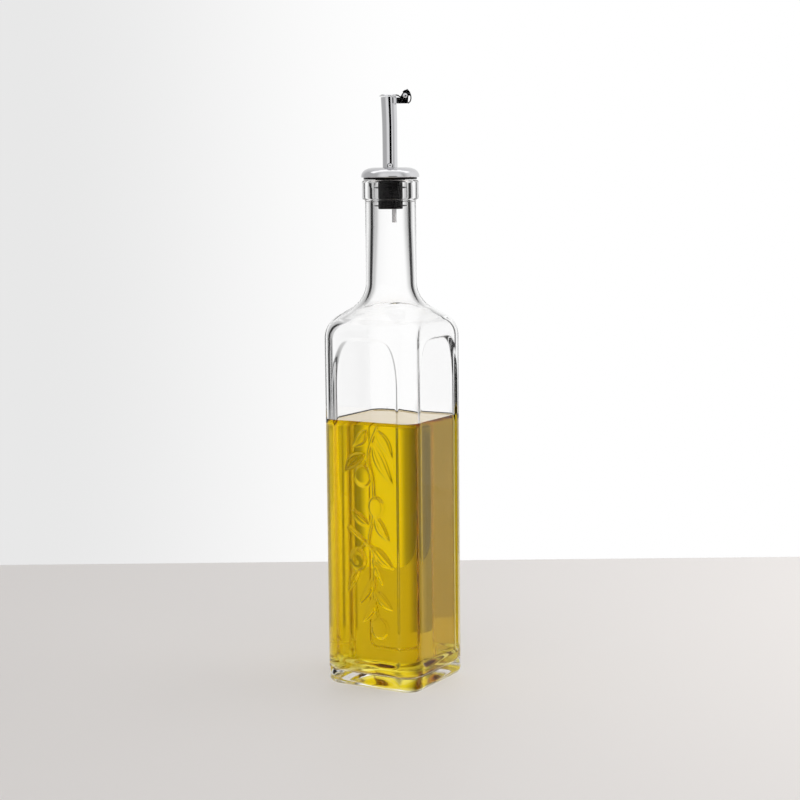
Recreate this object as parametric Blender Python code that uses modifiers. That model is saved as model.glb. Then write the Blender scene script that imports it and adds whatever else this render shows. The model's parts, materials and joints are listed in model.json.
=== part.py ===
"""Square glass oil bottle with an olive sprig in relief, its oil, and a steel pourer with a flap.

Units are metres and +Z is up. The origin is the centre of the base, on the surface the bottle
stands on. The face with the olive sprig looks along -Y. The pourer is built with its flap's hinge
on the +X side, and the empty "pourer_turn" then turns the whole pourer about Z.
"""
import math

import bmesh
import bpy
import numpy as np
from mathutils import Vector

MM = 0.001

# Body of the bottle
HALF_SIDE = 28.6 * MM            # half of the square section
CORNER_RADIUS = 9.4 * MM         # upright corner
HEEL_RADIUS = 3.8 * MM           # round between the sides and the base
BASE_RING_HALF = 19.5 * MM       # inner edge of the ring that the bottle stands on
PUNT_RISE = 4.0 * MM             # how high the middle of the base is pushed up
PUNT_RINGS = (5.0 * MM, 10.0 * MM, 14.5 * MM, 17.5 * MM)
SHOULDER_START = 186.2 * MM      # height where the upright sides end
SHOULDER_RADIUS = 12.6 * MM      # convex round of the shoulder, at the corner
FLARE_RADIUS = 16.0 * MM         # concave round into the neck
SHOULDER_ANGLE = math.radians(62.0)
ROUND_FROM = 23.0 * MM           # the section is a full circle inside this radius
NECK_RADIUS = 13.45 * MM
WALL_AT_CORNER = 3.1 * MM        # from the outer corner to the inner corner
WALL_AT_SIDE = 3.1 * MM
INNER_CORNER_RADIUS = 6.3 * MM
INNER_ROUND_FROM = 19.5 * MM
FLOOR_THICKNESS = 7.0 * MM       # at the foot of the inner wall
FLOOR_RISE = 2.5 * MM            # how much higher the middle of the inner floor lies
FLOOR_ROUND = 4.5 * MM           # round between the inner floor and the inner wall
FLOOR_RINGS = ((17.5 * MM, 3.4 * MM), (12.5 * MM, 5.5 * MM), (6.0 * MM, 4.5 * MM))

# Ring at the mouth
RING_RADIUS = 15.0 * MM
RING_BOTTOM = 259.0 * MM
GLASS_TOP = 269.1 * MM
MOUTH_BORE = 9.0 * MM

# Arched panels
PANELLED_SIDES = (0, 1, 2)       # quarter turns from the front; the fourth side is plain
PANEL_DEPTH = 1.5 * MM           # the panel lies this far behind the side of the bottle
PANEL_HALF_WIDTH = 18.7 * MM
PANEL_BOTTOM = 14.0 * MM
PANEL_TOP = 186.6 * MM
ARCH_HEIGHT = 26.0 * MM
ARCH_POWER = 5.0                 # how square the top of the arch is
PANEL_FOOT_ROUND = 3.0 * MM

# Oil
OIL_LEVEL = 142.7 * MM
FIT_GAP = 0.3 * MM               # left between parts that touch

# Pourer
POURER_TURN = math.radians(30.0)
SPOUT_RADIUS = 3.93 * MM
SPOUT_BORE = 3.43 * MM
SPOUT_FOOT = 262.3 * MM
SPOUT_TOP = 312.4 * MM
SPOUT_LEAN = 0.45 * MM           # how far the tip leans away from the hinge
SPOUT_FLARE = 1.045              # the tip is wider than the foot by this factor
CAP_RADIUS = 15.4 * MM
CAP_RIM = 270.5 * MM
CAP_SHEET = 0.6 * MM
STOPPER_RADIUS = 6.06 * MM
STOPPER_FOOT = 254.1 * MM
FIN_MIDDLES = (265.1 * MM, 255.9 * MM)
COLLAR = (257.9 * MM, 260.8 * MM)        # foot and top of the thicker band between the fins
FIN_RADIUS = 8.7 * MM
FLANGE_RADIUS = 14.15 * MM
BREATHER_RADIUS = 1.19 * MM
BREATHER_BORE = 0.75 * MM
BREATHER_OFFSET = 1.9 * MM
BREATHER_FOOT = 247.0 * MM
OUTLET_HEIGHT = 276.5 * MM
TUBE_SLACK = 0.2 * MM            # between the spout and what it passes through
CUT_PAST = 2.0 * MM              # how far a cutter reaches past the solid it cuts

# Flap and its hinge, in the pourer's own directions
PIVOT = (8.25 * MM, 312.95 * MM)         # x and z of the pin's axis
EAR_INNER = 1.7 * MM
EAR_THICKNESS = 0.5 * MM
FLAP_HALF_WIDTH = 1.5 * MM
PIN_RADIUS = 0.75 * MM
PIN_HOLE = 0.95 * MM
PIN_HEAD_RADIUS = 1.26 * MM
PIN_HEAD_THICKNESS = 0.45 * MM
PIN_SLACK = 0.1 * MM
KNUCKLE_RADIUS = 1.85 * MM
BRACKET_BOTTOM = 309.0 * MM
BRACKET_TOP = 312.0 * MM
BRACKET_SHEET = 0.6 * MM
BRACKET_REACH = 56.0             # degrees that the saddle reaches round the spout, each way
STRAP_SHEET = 0.6 * MM

TURN_STEPS = 36
PIN_STEPS = 16

# Half of the angles at which a section of the glass is sampled, in degrees from the middle of a
# side: the first four lie on the flat, the others on the corner.
OCTANT = (0.0, 11.5, 23.0, 33.8, 36.8, 39.6, 42.3, 45.0)


def clear_scene():
    """Start from an empty file."""
    for old in list(bpy.data.objects):
        bpy.data.objects.remove(old, do_unlink=True)


def new_collection(name):
    """A collection linked to the scene."""
    made = bpy.data.collections.new(name)
    bpy.context.scene.collection.children.link(made)
    return made


def new_material(name, colour, roughness, metallic=0.0, transmission=0.0):
    """A Principled material with one colour."""
    made = bpy.data.materials.new(name)
    made.use_nodes = True
    shader = made.node_tree.nodes["Principled BSDF"]
    shader.inputs["Base Color"].default_value = (*colour, 1.0)
    shader.inputs["Roughness"].default_value = roughness
    shader.inputs["Metallic"].default_value = metallic
    shader.inputs["Transmission Weight"].default_value = transmission
    made.diffuse_color = (*colour, 1.0)
    return made


def new_object(name, mesh, material, collection):
    """Put a mesh in the scene, shaded smooth across its gentle edges."""
    made = bpy.data.objects.new(name, mesh)
    collection.objects.link(made)
    if material is not None:
        mesh.materials.clear()
        mesh.materials.append(material)
    mesh.shade_smooth()
    mesh.set_sharp_from_angle(angle=math.radians(35.0))
    return made


def mark_as_cutter(tool):
    """A cutter shows as wires and is not part of the model."""
    tool.hide_render = True
    tool.display_type = "WIRE"


# ---- sections and lofts -------------------------------------------------------------------------

def section_angles():
    """The angles of one whole section, counter-clockwise, denser at the corners."""
    half = np.array(OCTANT)
    quarter = np.concatenate([-half[:0:-1], half[:-1]])
    whole = np.concatenate([quarter + 90.0 * side for side in range(4)])
    return np.radians(whole)


def rounded_square_radius(half, corner, angles):
    """Distance from the middle to a rounded square, in each direction."""
    folded = np.abs((angles + np.pi / 4.0) % (np.pi / 2.0) - np.pi / 4.0)
    flat = half / np.cos(folded)
    centre = half - corner
    along = centre * (np.cos(folded) + np.sin(folded))
    inside = np.maximum(along ** 2 - (2.0 * centre ** 2 - corner ** 2), 0.0)
    arc = along + np.sqrt(inside)
    on_flat = half * np.tan(folded) <= centre
    return np.where(on_flat, flat, arc)


def ring_points(half, corner, height):
    """The points of one level section."""
    angles = section_angles()
    reach = rounded_square_radius(half, min(corner, half), angles)
    level = np.full(len(angles), height)
    return np.column_stack([reach * np.cos(angles), reach * np.sin(angles), level])


def circle_points(radius, height):
    """The points of one round level section, at the same angles."""
    return ring_points(radius, radius, height)


def loft(name, rings):
    """A closed mesh through a list of rings, with a flat face at each end."""
    shape = bmesh.new()
    loops = [[shape.verts.new(point) for point in ring] for ring in rings]
    count = len(loops[0])
    for low, high in zip(loops[:-1], loops[1:]):
        for step in range(count):
            after = (step + 1) % count
            shape.faces.new((low[step], low[after], high[after], high[step]))
    shape.faces.new(list(reversed(loops[0])))
    shape.faces.new(loops[-1])
    bmesh.ops.recalc_face_normals(shape, faces=shape.faces[:])
    mesh = bpy.data.meshes.new(name)
    shape.to_mesh(mesh)
    shape.free()
    return mesh


def arc(centre, radius, start, end, steps):
    """Points of an arc as (across, up) pairs, from start to end in degrees."""
    turn = np.radians(np.linspace(start, end, steps + 1))
    across = centre[0] + radius * np.cos(turn)
    up = centre[1] + radius * np.sin(turn)
    return list(zip(across, up))


# ---- glass --------------------------------------------------------------------------------------

def corner_reach(half, corner):
    """Distance from the middle of a rounded square to its corner."""
    return (half - corner) * math.sqrt(2.0) + corner


def shoulder_profile(inset, steps):
    """Corner profile of the shoulder, bottom to top, set in from the outer glass by inset.

    A convex arc, a straight slope and a concave arc share the centres of the outer profile.
    """
    outer_reach = corner_reach(HALF_SIDE, CORNER_RADIUS)
    neck_start = (SHOULDER_START
                  + SHOULDER_RADIUS * math.sin(SHOULDER_ANGLE)
                  + FLARE_RADIUS * math.sin(SHOULDER_ANGLE)
                  + (outer_reach - NECK_RADIUS
                     - (SHOULDER_RADIUS + FLARE_RADIUS) * (1.0 - math.cos(SHOULDER_ANGLE)))
                  / math.tan(SHOULDER_ANGLE))
    convex_centre = (outer_reach - SHOULDER_RADIUS, SHOULDER_START)
    concave_centre = (NECK_RADIUS + FLARE_RADIUS, neck_start)
    turn = math.degrees(SHOULDER_ANGLE)
    convex = arc(convex_centre, SHOULDER_RADIUS - inset, 0.0, turn, steps)
    concave = arc(concave_centre, FLARE_RADIUS + inset, 180.0 + turn, 180.0, steps)
    return convex + concave


def shoulder_rings(half, corner, round_from, inset, steps):
    """Rings from the square body to the round neck, softened as they rise."""
    start_reach = corner_reach(half, corner)
    start_share = corner / half
    rings = []
    for reach, height in shoulder_profile(inset, steps):
        done = min(max((start_reach - reach) / (start_reach - round_from), 0.0), 1.0)
        share = start_share + (1.0 - start_share) * done
        level_half = reach / (math.sqrt(2.0) - (math.sqrt(2.0) - 1.0) * share)
        rings.append(ring_points(level_half, share * level_half, height))
    return rings


def punt_height(half):
    """Height of the pushed-up base: a dome that meets the standing ring."""
    return PUNT_RISE * max(1.0 - (half / BASE_RING_HALF) ** 2, 0.0) ** 1.5


def floor_height(half):
    """Height of the inner floor: a low mound that follows the pushed-up base."""
    edge = HALF_SIDE - WALL_AT_SIDE - FLOOR_ROUND
    return FLOOR_THICKNESS + FLOOR_RISE * (1.0 - (half / edge) ** 2)


def glass_mesh():
    """Outer wall from the punt to the mouth, then the inner wall down to the floor."""
    rings = [ring_points(half, half * (1.0 - 0.7 * half / BASE_RING_HALF), punt_height(half))
             for half in PUNT_RINGS]
    rings.append(ring_points(BASE_RING_HALF, BASE_RING_HALF * 0.3, 0.0))
    for inset, height in arc((HEEL_RADIUS, HEEL_RADIUS), HEEL_RADIUS, 270.0, 180.0, 4):
        rings.append(ring_points(HALF_SIDE - inset, CORNER_RADIUS - inset, height))
    rings += shoulder_rings(HALF_SIDE, CORNER_RADIUS, ROUND_FROM, 0.0, 6)

    lip_round = 1.3 * MM
    throat_round = 0.8 * MM
    rings.append(circle_points(NECK_RADIUS, RING_BOTTOM - 0.5 * MM))
    rings.append(circle_points(NECK_RADIUS + 0.7 * MM, RING_BOTTOM))
    rings.append(circle_points(RING_RADIUS - 0.35 * MM, RING_BOTTOM + 0.6 * MM))
    lip = arc((RING_RADIUS - lip_round, GLASS_TOP - lip_round), lip_round, 0.0, 90.0, 3)
    throat = arc((MOUTH_BORE + throat_round, GLASS_TOP - throat_round), throat_round, 90.0, 180.0, 3)
    for radius, height in lip + throat:
        rings.append(circle_points(radius, height))

    inner_half = HALF_SIDE - WALL_AT_SIDE
    inner = shoulder_rings(inner_half, INNER_CORNER_RADIUS, INNER_ROUND_FROM, WALL_AT_CORNER, 5)
    rings += reversed(inner)
    floor = arc((FLOOR_ROUND, FLOOR_THICKNESS + FLOOR_ROUND), FLOOR_ROUND, 180.0, 270.0, 3)
    for inset, height in floor:
        rings.append(ring_points(inner_half - inset, INNER_CORNER_RADIUS - inset, height))
    for half, corner in FLOOR_RINGS:
        rings.append(ring_points(half, corner, floor_height(half)))
    return loft("glass_bottle", rings)


def arch_outline(spread, steps=8):
    """Outline of an arched panel as (across, up) pairs, spread outwards on every side.

    The arch is a superellipse: it leans in slowly up the legs and is nearly flat on top. The two
    lower corners are round.
    """
    half = PANEL_HALF_WIDTH + spread
    rise = ARCH_HEIGHT + spread
    spring = PANEL_TOP - ARCH_HEIGHT
    foot_round = PANEL_FOOT_ROUND
    foot = arc((half - foot_round, PANEL_BOTTOM - spread + foot_round), foot_round, -90.0, 0.0, 3)
    turn = np.linspace(0.0, np.pi / 2.0, steps + 1)
    across = half * np.cos(turn) ** (2.0 / ARCH_POWER)
    up = spring + rise * np.sin(turn)
    right = foot + list(zip(across, up))
    left = [(-x, z) for x, z in reversed(right[:-1])]
    return right + left


def panel_cutter(side, collection):
    """A block with an arched outline that flares outwards, turned to one side of the bottle."""
    floor_y = -(HALF_SIDE - PANEL_DEPTH)
    outside = 1.0 * MM
    spreads = (0.0, PANEL_DEPTH + outside)
    rings = []
    for spread in spreads:
        outline = arch_outline(spread)
        rings.append([(x, floor_y - spread, z) for x, z in outline])
    cutter = bpy.data.objects.new(f"panel_cutter_{side}", loft(f"panel_cutter_{side}", rings))
    cutter.rotation_euler = (0.0, 0.0, side * math.pi / 2.0)
    collection.objects.link(cutter)
    mark_as_cutter(cutter)


# ---- olive sprig in relief ----------------------------------------------------------------------

# Places on the panel are (across, up) in millimetres; the sprig hangs down from the top.
STEMS = (
    (((6.5, 141.0), (2.5, 132.0), (1.0, 124.0), (3.6, 114.0), (4.2, 104.5)), 0.75),
    (((-11.5, 86.5), (-3.0, 80.5), (4.0, 74.0), (4.2, 62.0), (3.6, 52.0), (6.2, 39.0)), 0.75),
    (((4.2, 99.5), (3.4, 92.0), (1.4, 84.0), (0.4, 78.0)), 0.6),
    (((-0.5, 123.0), (-2.6, 119.5)), 0.55),
    (((-1.0, 79.2), (-4.6, 75.0)), 0.55),
)
OLIVES = (
    # across, up, half width, half height
    (-2.6, 114.8, 5.2, 5.8),
    (5.4, 98.6, 4.6, 5.6),
    (-6.2, 69.6, 4.9, 6.0),
    (6.9, 33.6, 5.2, 5.8),
)
LEAVES = (
    # foot across, foot up, tip across, tip up, half width
    (5.0, 140.0, 15.6, 124.5, 2.9),
    (3.4, 133.5, 15.8, 111.0, 3.3),
    (-1.4, 126.5, -13.6, 117.0, 3.2),
    (-0.2, 139.5, -8.6, 130.0, 2.9),
    (4.6, 94.0, 13.4, 80.5, 2.9),
    (0.8, 88.5, -9.6, 96.5, 2.5),
    (3.8, 77.0, 15.2, 66.5, 3.0),
    (2.6, 71.0, 8.8, 57.0, 1.8),
    (-5.2, 64.6, -12.4, 52.0, 1.7),
    (3.2, 60.5, -6.0, 45.5, 1.9),
    (4.4, 54.0, 15.2, 44.0, 2.8),
    (4.2, 50.0, -3.4, 36.0, 2.4),
)
LEAF_RISE = 0.75 * MM
OLIVE_RISE = 1.15 * MM
SUNK = 0.35 * MM                 # how far each piece of relief reaches into the panel


def panel_point(across, up, out):
    """A point on the front panel, out is measured away from the glass."""
    return Vector((across, -(HALF_SIDE - PANEL_DEPTH) - out, up))


def relief_leaf(name, leaf, collection):
    """A pointed leaf with a raised middle rib: a loft of small diamonds between two points."""
    foot_x, foot_z, tip_x, tip_z, half_width = (value * MM for value in leaf)
    foot = Vector((foot_x, foot_z))
    tip = Vector((tip_x, tip_z))
    along = tip - foot
    side = Vector((-along.y, along.x)).normalized()
    shape = bmesh.new()
    stations = 5
    loops = []
    for step in range(1, stations + 1):
        share = step / (stations + 1)
        middle = foot + along * share
        width = half_width * math.sin(math.pi * share ** 0.85)
        left = middle + side * width
        right = middle - side * width
        rise = LEAF_RISE * math.sin(math.pi * share) ** 0.5
        corners = (panel_point(left.x, left.y, -0.05 * MM),
                   panel_point(middle.x, middle.y, rise),
                   panel_point(right.x, right.y, -0.05 * MM),
                   panel_point(middle.x, middle.y, -SUNK))
        loops.append([shape.verts.new(corner) for corner in corners])
    for low, high in zip(loops[:-1], loops[1:]):
        for step in range(4):
            after = (step + 1) % 4
            shape.faces.new((low[step], low[after], high[after], high[step]))
    start = shape.verts.new(panel_point(foot.x, foot.y, -0.1 * MM))
    end = shape.verts.new(panel_point(tip.x, tip.y, -0.1 * MM))
    for step in range(4):
        after = (step + 1) % 4
        shape.faces.new((start, loops[0][after], loops[0][step]))
        shape.faces.new((end, loops[-1][step], loops[-1][after]))
    bmesh.ops.recalc_face_normals(shape, faces=shape.faces[:])
    mesh = bpy.data.meshes.new(name)
    shape.to_mesh(mesh)
    shape.free()
    new_object(name, mesh, None, collection)


def relief_olive(name, olive, collection):
    """A flattened ball, half sunk in the panel."""
    across, up, half_width, half_height = (value * MM for value in olive)
    shape = bmesh.new()
    bmesh.ops.create_uvsphere(shape, u_segments=14, v_segments=8, radius=1.0)
    for vertex in shape.verts:
        vertex.co = Vector((vertex.co.x * half_width, vertex.co.y * OLIVE_RISE, vertex.co.z * half_height))
        vertex.co += panel_point(across, up, 0.0)
    mesh = bpy.data.meshes.new(name)
    shape.to_mesh(mesh)
    shape.free()
    new_object(name, mesh, None, collection)


def curve_tube(name, points, radius, sides, radii=None):
    """A closed tube along points, made from a bevelled curve whose caps are welded."""
    data = bpy.data.curves.new(name, "CURVE")
    data.dimensions = "3D"
    data.bevel_depth = radius
    data.bevel_resolution = sides // 4
    data.use_fill_caps = True
    spline = data.splines.new("POLY")
    spline.points.add(len(points) - 1)
    for number, point in enumerate(points):
        spline.points[number].co = (*point, 1.0)
        if radii is not None:
            spline.points[number].radius = radii[number]
    guide = bpy.data.objects.new(name, data)
    bpy.context.scene.collection.objects.link(guide)
    bpy.context.view_layer.update()
    mesh = bpy.data.meshes.new_from_object(guide.evaluated_get(bpy.context.evaluated_depsgraph_get()))
    bpy.data.objects.remove(guide, do_unlink=True)
    shape = bmesh.new()
    shape.from_mesh(mesh)
    bmesh.ops.remove_doubles(shape, verts=shape.verts[:], dist=0.001 * MM)
    bmesh.ops.recalc_face_normals(shape, faces=shape.faces[:])
    shape.to_mesh(mesh)
    shape.free()
    return mesh


def smooth_path(points, per_span=3):
    """A Catmull-Rom path through a few points, as a list of points."""
    knots = np.array([points[0], *points, points[-1]], dtype=float)
    path = []
    for before, start, end, after in zip(knots[:-3], knots[1:-2], knots[2:-1], knots[3:]):
        for step in range(per_span):
            t = step / per_span
            path.append(0.5 * (2.0 * start + (end - before) * t
                               + (2.0 * before - 5.0 * start + 4.0 * end - after) * t ** 2
                               + (3.0 * start - before - 3.0 * end + after) * t ** 3))
    path.append(knots[-1])
    return path


def relief_stem(name, stem, collection):
    """A thin round twig, half sunk in the panel."""
    places, radius = stem
    points = [panel_point(across * MM, up * MM, 0.1 * MM) for across, up in smooth_path(places)]
    new_object(name, curve_tube(name, points, radius * MM, 4), None, collection)


def boolean_with(target, operation, collection):
    """Cut or join the target with every object of a collection, and keep only the result."""
    step = target.modifiers.new(operation.lower(), "BOOLEAN")
    step.operation = operation
    step.solver = "EXACT"
    step.operand_type = "COLLECTION"
    step.collection = collection
    bpy.context.view_layer.update()
    result = bpy.data.meshes.new_from_object(target.evaluated_get(bpy.context.evaluated_depsgraph_get()))
    target.modifiers.clear()
    target.data = result
    for operand in list(collection.objects):
        bpy.data.objects.remove(operand, do_unlink=True)


def make_glass(parts, glass):
    """The bottle: one piece of moulded glass, open at the mouth."""
    bottle = new_object("glass_bottle", glass_mesh(), glass, parts)
    cutters = new_collection("panel_cutters")
    for side in PANELLED_SIDES:
        panel_cutter(side, cutters)
    boolean_with(bottle, "DIFFERENCE", cutters)
    relief = new_collection("sprig_relief")
    for number, leaf in enumerate(LEAVES):
        relief_leaf(f"leaf_{number}", leaf, relief)
    for number, olive in enumerate(OLIVES):
        relief_olive(f"olive_{number}", olive, relief)
    for number, stem in enumerate(STEMS):
        relief_stem(f"stem_{number}", stem, relief)
    boolean_with(bottle, "UNION", relief)
    for empty_collection in (cutters, relief):
        bpy.data.collections.remove(empty_collection)


def make_oil(parts, oil):
    """The oil fills the inside of the glass up to its level, a hair's gap from the wall."""
    half = HALF_SIDE - WALL_AT_SIDE - FIT_GAP
    corner = INNER_CORNER_RADIUS - FIT_GAP
    low_round = FLOOR_ROUND - FIT_GAP
    floor = FLOOR_THICKNESS + FIT_GAP
    rings = []
    for ring_half, ring_corner in reversed(FLOOR_RINGS):
        rings.append(ring_points(ring_half, ring_corner, floor_height(ring_half) + FIT_GAP))
    for inset, height in arc((low_round, floor + low_round), low_round, 270.0, 180.0, 3):
        rings.append(ring_points(half - inset, corner - inset, height))
    rings.append(ring_points(half, corner, OIL_LEVEL))
    new_object("oil", loft("oil", rings), oil, parts)


# ---- pourer -------------------------------------------------------------------------------------

def turned(name, profile, material, collection, steps=TURN_STEPS):
    """A ring turned about Z from a closed profile of (radius, height) pairs in millimetres.

    The profile starts at the top on the bore side, runs out, then down its outer side.
    """
    mesh = bpy.data.meshes.new(name)
    points = [(radius * MM, 0.0, height * MM) for radius, height in profile]
    edges = [(number, (number + 1) % len(points)) for number in range(len(points))]
    mesh.from_pydata(points, edges, [])
    made = new_object(name, mesh, material, collection)
    screw = made.modifiers.new("turn", "SCREW")
    screw.steps = steps
    screw.render_steps = steps
    screw.use_merge_vertices = True
    screw.merge_threshold = 0.00001
    screw.use_smooth_shade = True
    return made


def fin_corners(plug, fin, middle):
    """Profile corners of one sealing fin, thick at the plug and thin at its edge."""
    root, edge = 0.45, 0.2
    return [(plug, middle + root), (fin, middle + edge), (fin, middle - edge), (plug, middle - root)]


def make_stopper(parts, rubber):
    """The black stopper: a head under the steel cap, a flange, a cone and a plug with two fins."""
    bore_top = (SPOUT_RADIUS + TUBE_SLACK) / MM
    bore_low = SPOUT_BORE / MM
    plug = STOPPER_RADIUS / MM
    fin = FIN_RADIUS / MM
    flange = FLANGE_RADIUS / MM
    foot = STOPPER_FOOT / MM
    seat = (GLASS_TOP + FIT_GAP) / MM
    tube_end = (SPOUT_FOOT - FIT_GAP) / MM
    collar_low, collar_top = (height / MM for height in COLLAR)
    collar_rise = 0.3
    profile = [(bore_top, 274.0), (9.2, 274.5), (11.3, 274.1), (12.7, 273.4), (13.6, 272.6),
               (flange, 271.7), (flange, seat), (8.1, seat), (plug, 267.3)]
    fin_high, fin_low = (height / MM for height in FIN_MIDDLES)
    profile += fin_corners(plug, fin, fin_high)
    profile += [(plug, collar_top), (plug + collar_rise, collar_top - collar_rise),
                (plug + collar_rise, collar_low + collar_rise), (plug, collar_low)]
    profile += fin_corners(plug, fin, fin_low)
    profile += [(plug, foot + 0.4), (plug - 0.4, foot), (bore_low, foot),
                (bore_low, tube_end), (bore_top, tube_end)]
    return turned("stopper", profile, rubber, parts)


def make_cap(parts, steel):
    """The steel cap: a spun dome with a small well where the spout comes out."""
    hole = (SPOUT_RADIUS + TUBE_SLACK) / MM
    edge = CAP_RADIUS / MM
    rim = CAP_RIM / MM
    sheet = CAP_SHEET / MM
    over = [(hole, 275.0), (5.3, 275.0), (6.2, 275.55), (8.0, 275.75), (9.8, 275.65), (11.6, 275.3),
            (13.2, 274.65), (14.4, 273.7), (15.1, 272.6), (edge, 271.4), (edge, rim)]
    under = [(edge - sheet, rim), (edge - sheet, 271.5), (14.45, 272.4), (13.8, 273.2), (12.8, 273.95),
             (11.4, 274.6), (9.6, 274.95), (7.9, 275.05), (5.6, 274.4), (hole, 274.3)]
    return turned("steel_cap", over + under, steel, parts)


def spout_axis(start, end, steps):
    """Points up the middle of the spout: straight, then leaning over near the tip."""
    bend_from = 297.0 * MM
    points = []
    for height in np.linspace(start, end, steps):
        share = max(height - bend_from, 0.0) / (SPOUT_TOP - bend_from)
        points.append((-SPOUT_LEAN * share ** 1.5, 0.0, height))
    return points


def spout_flare(points):
    """How much wider the tube is at each point."""
    widest = SPOUT_TOP
    flare_from = 290.0 * MM
    shares = [max(point[2] - flare_from, 0.0) / (widest - flare_from) for point in points]
    return [1.0 + (SPOUT_FLARE - 1.0) * share for share in shares]


def make_spout(parts, steel):
    """The steel tube, with a small hole near its foot for the breather."""
    steps = 11
    outer_path = spout_axis(SPOUT_FOOT, SPOUT_TOP, steps)
    outer_mesh = curve_tube("spout", outer_path, SPOUT_RADIUS, 24, spout_flare(outer_path))
    spout = new_object("spout", outer_mesh, steel, parts)
    cutters = new_collection("spout_cutters")
    inner_path = spout_axis(SPOUT_FOOT - CUT_PAST, SPOUT_TOP + CUT_PAST, steps)
    bore = curve_tube("spout_bore", inner_path, SPOUT_BORE, 24, spout_flare(inner_path))
    mark_as_cutter(new_object("spout_bore", bore, None, cutters))
    hole_radius = BREATHER_RADIUS + 0.35 * MM
    hole_path = [(0.0, -1.5 * MM, OUTLET_HEIGHT), (0.0, -6.0 * MM, OUTLET_HEIGHT)]
    hole = curve_tube("breather_hole", hole_path, hole_radius, 12)
    mark_as_cutter(new_object("breather_hole", hole, None, cutters))
    boolean_with(spout, "DIFFERENCE", cutters)
    bpy.data.collections.remove(cutters)
    return spout


def make_breather(parts, steel):
    """The thin air tube: up through the stopper, then out of the front of the spout's foot."""
    bend = [(BREATHER_OFFSET, 0.0, BREATHER_FOOT), (BREATHER_OFFSET, 0.0, 268.0 * MM),
            (1.75 * MM, -0.2 * MM, 270.6 * MM), (1.15 * MM, -0.8 * MM, 273.0 * MM),
            (0.45 * MM, -1.5 * MM, 275.2 * MM), (0.0, -2.6 * MM, 276.3 * MM),
            (0.0, -3.6 * MM, OUTLET_HEIGHT), (0.0, -4.75 * MM, OUTLET_HEIGHT)]
    tube = curve_tube("breather_tube", bend, BREATHER_RADIUS, 12)
    breather = new_object("breather_tube", tube, steel, parts)
    cutters = new_collection("breather_cutters")
    end = bend[-1]
    inner = [(BREATHER_OFFSET, 0.0, BREATHER_FOOT - CUT_PAST), *bend[1:-1]]
    inner.append((end[0], end[1] - CUT_PAST, end[2]))
    bore = curve_tube("breather_bore", inner, BREATHER_BORE, 12)
    mark_as_cutter(new_object("breather_bore", bore, None, cutters))
    boolean_with(breather, "DIFFERENCE", cutters)
    bpy.data.collections.remove(cutters)
    return breather


def plate(name, outline, low_y, high_y):
    """A flat plate from an outline of (x, z) pairs in metres, between two values of y."""
    rings = [[(x, low_y, z) for x, z in outline], [(x, high_y, z) for x, z in outline]]
    return loft(name, rings)


def strip_outline(path, thickness):
    """Outline of a bent strip of even thickness along a path of (x, z) pairs."""
    points = np.array(path)
    along = np.gradient(points, axis=0)
    along /= np.linalg.norm(along, axis=1)[:, None]
    across = np.column_stack([-along[:, 1], along[:, 0]]) * thickness / 2.0
    return [tuple(point) for point in np.vstack([points + across, (points - across)[::-1]])]


def pin_hole(name, centre, collection):
    """A round cutter along Y through the pin's holes, centred on an (x, z) place."""
    reach = 4.0 * MM
    path = [(centre[0], -reach, centre[1]), (centre[0], reach, centre[1])]
    mark_as_cutter(new_object(name, curve_tube(name, path, PIN_HOLE, 12), None, collection))


def make_bracket(parts, steel):
    """The hinge bracket: a saddle round the back of the spout with two ears for the pin."""
    inner = SPOUT_RADIUS * SPOUT_FLARE + 0.12 * MM
    middle_x = -SPOUT_LEAN * 0.9
    outside = arc((middle_x, 0.0), inner + BRACKET_SHEET, -BRACKET_REACH, BRACKET_REACH, 14)
    inside = arc((middle_x, 0.0), inner, BRACKET_REACH, -BRACKET_REACH, 14)
    band = [(x, y) for x, y in outside + inside]
    rings = [[(x, y, level) for x, y in band] for level in (BRACKET_BOTTOM, BRACKET_TOP)]
    bracket = new_object("hinge_bracket", loft("hinge_bracket", rings), steel, parts)

    ears = new_collection("bracket_ears")
    ear_foot = 3.72 * MM         # inside the saddle's sheet, so that the ears join it
    ear_end = 9.75 * MM
    corner = 0.5 * MM
    lobe = arc(PIVOT, KNUCKLE_RADIUS, -25.0, 155.0, 8)
    outline = [(ear_foot, BRACKET_BOTTOM), (ear_end - corner, BRACKET_BOTTOM),
               (ear_end, BRACKET_BOTTOM + corner), *lobe, (5.6 * MM, BRACKET_TOP), (ear_foot, BRACKET_TOP)]
    for side in (-1.0, 1.0):
        faces = sorted((side * EAR_INNER, side * (EAR_INNER + EAR_THICKNESS)))
        new_object("ear", plate("ear", outline, *faces), None, ears)
    boolean_with(bracket, "UNION", ears)
    bpy.data.collections.remove(ears)

    holes = new_collection("bracket_holes")
    pin_hole("bracket_pin_hole", PIVOT, holes)
    boolean_with(bracket, "DIFFERENCE", holes)
    bpy.data.collections.remove(holes)
    return bracket


def make_pin(parts, steel):
    """The rivet through the ears, with a round head on each side."""
    shaft = PIN_RADIUS / MM
    head = PIN_HEAD_RADIUS / MM
    start = (EAR_INNER + EAR_THICKNESS + PIN_SLACK) / MM
    end = start + PIN_HEAD_THICKNESS / MM
    edge = 0.25
    half = [(0.0, end), (head - edge, end), (head, end - edge), (head, start), (shaft, start)]
    profile = half + [(radius, -height) for radius, height in reversed(half)]
    mesh = bpy.data.meshes.new("hinge_pin")
    mesh.from_pydata([(radius * MM, 0.0, height * MM) for radius, height in profile],
                     [(number, number + 1) for number in range(len(profile) - 1)], [])
    pin = new_object("hinge_pin", mesh, steel, parts)
    screw = pin.modifiers.new("turn", "SCREW")
    screw.steps = PIN_STEPS
    screw.render_steps = PIN_STEPS
    screw.use_merge_vertices = True
    screw.merge_threshold = 0.00001
    pin.rotation_euler = (math.pi / 2.0, 0.0, 0.0)
    pin.location = (PIVOT[0], 0.0, PIVOT[1])
    return pin


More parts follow.
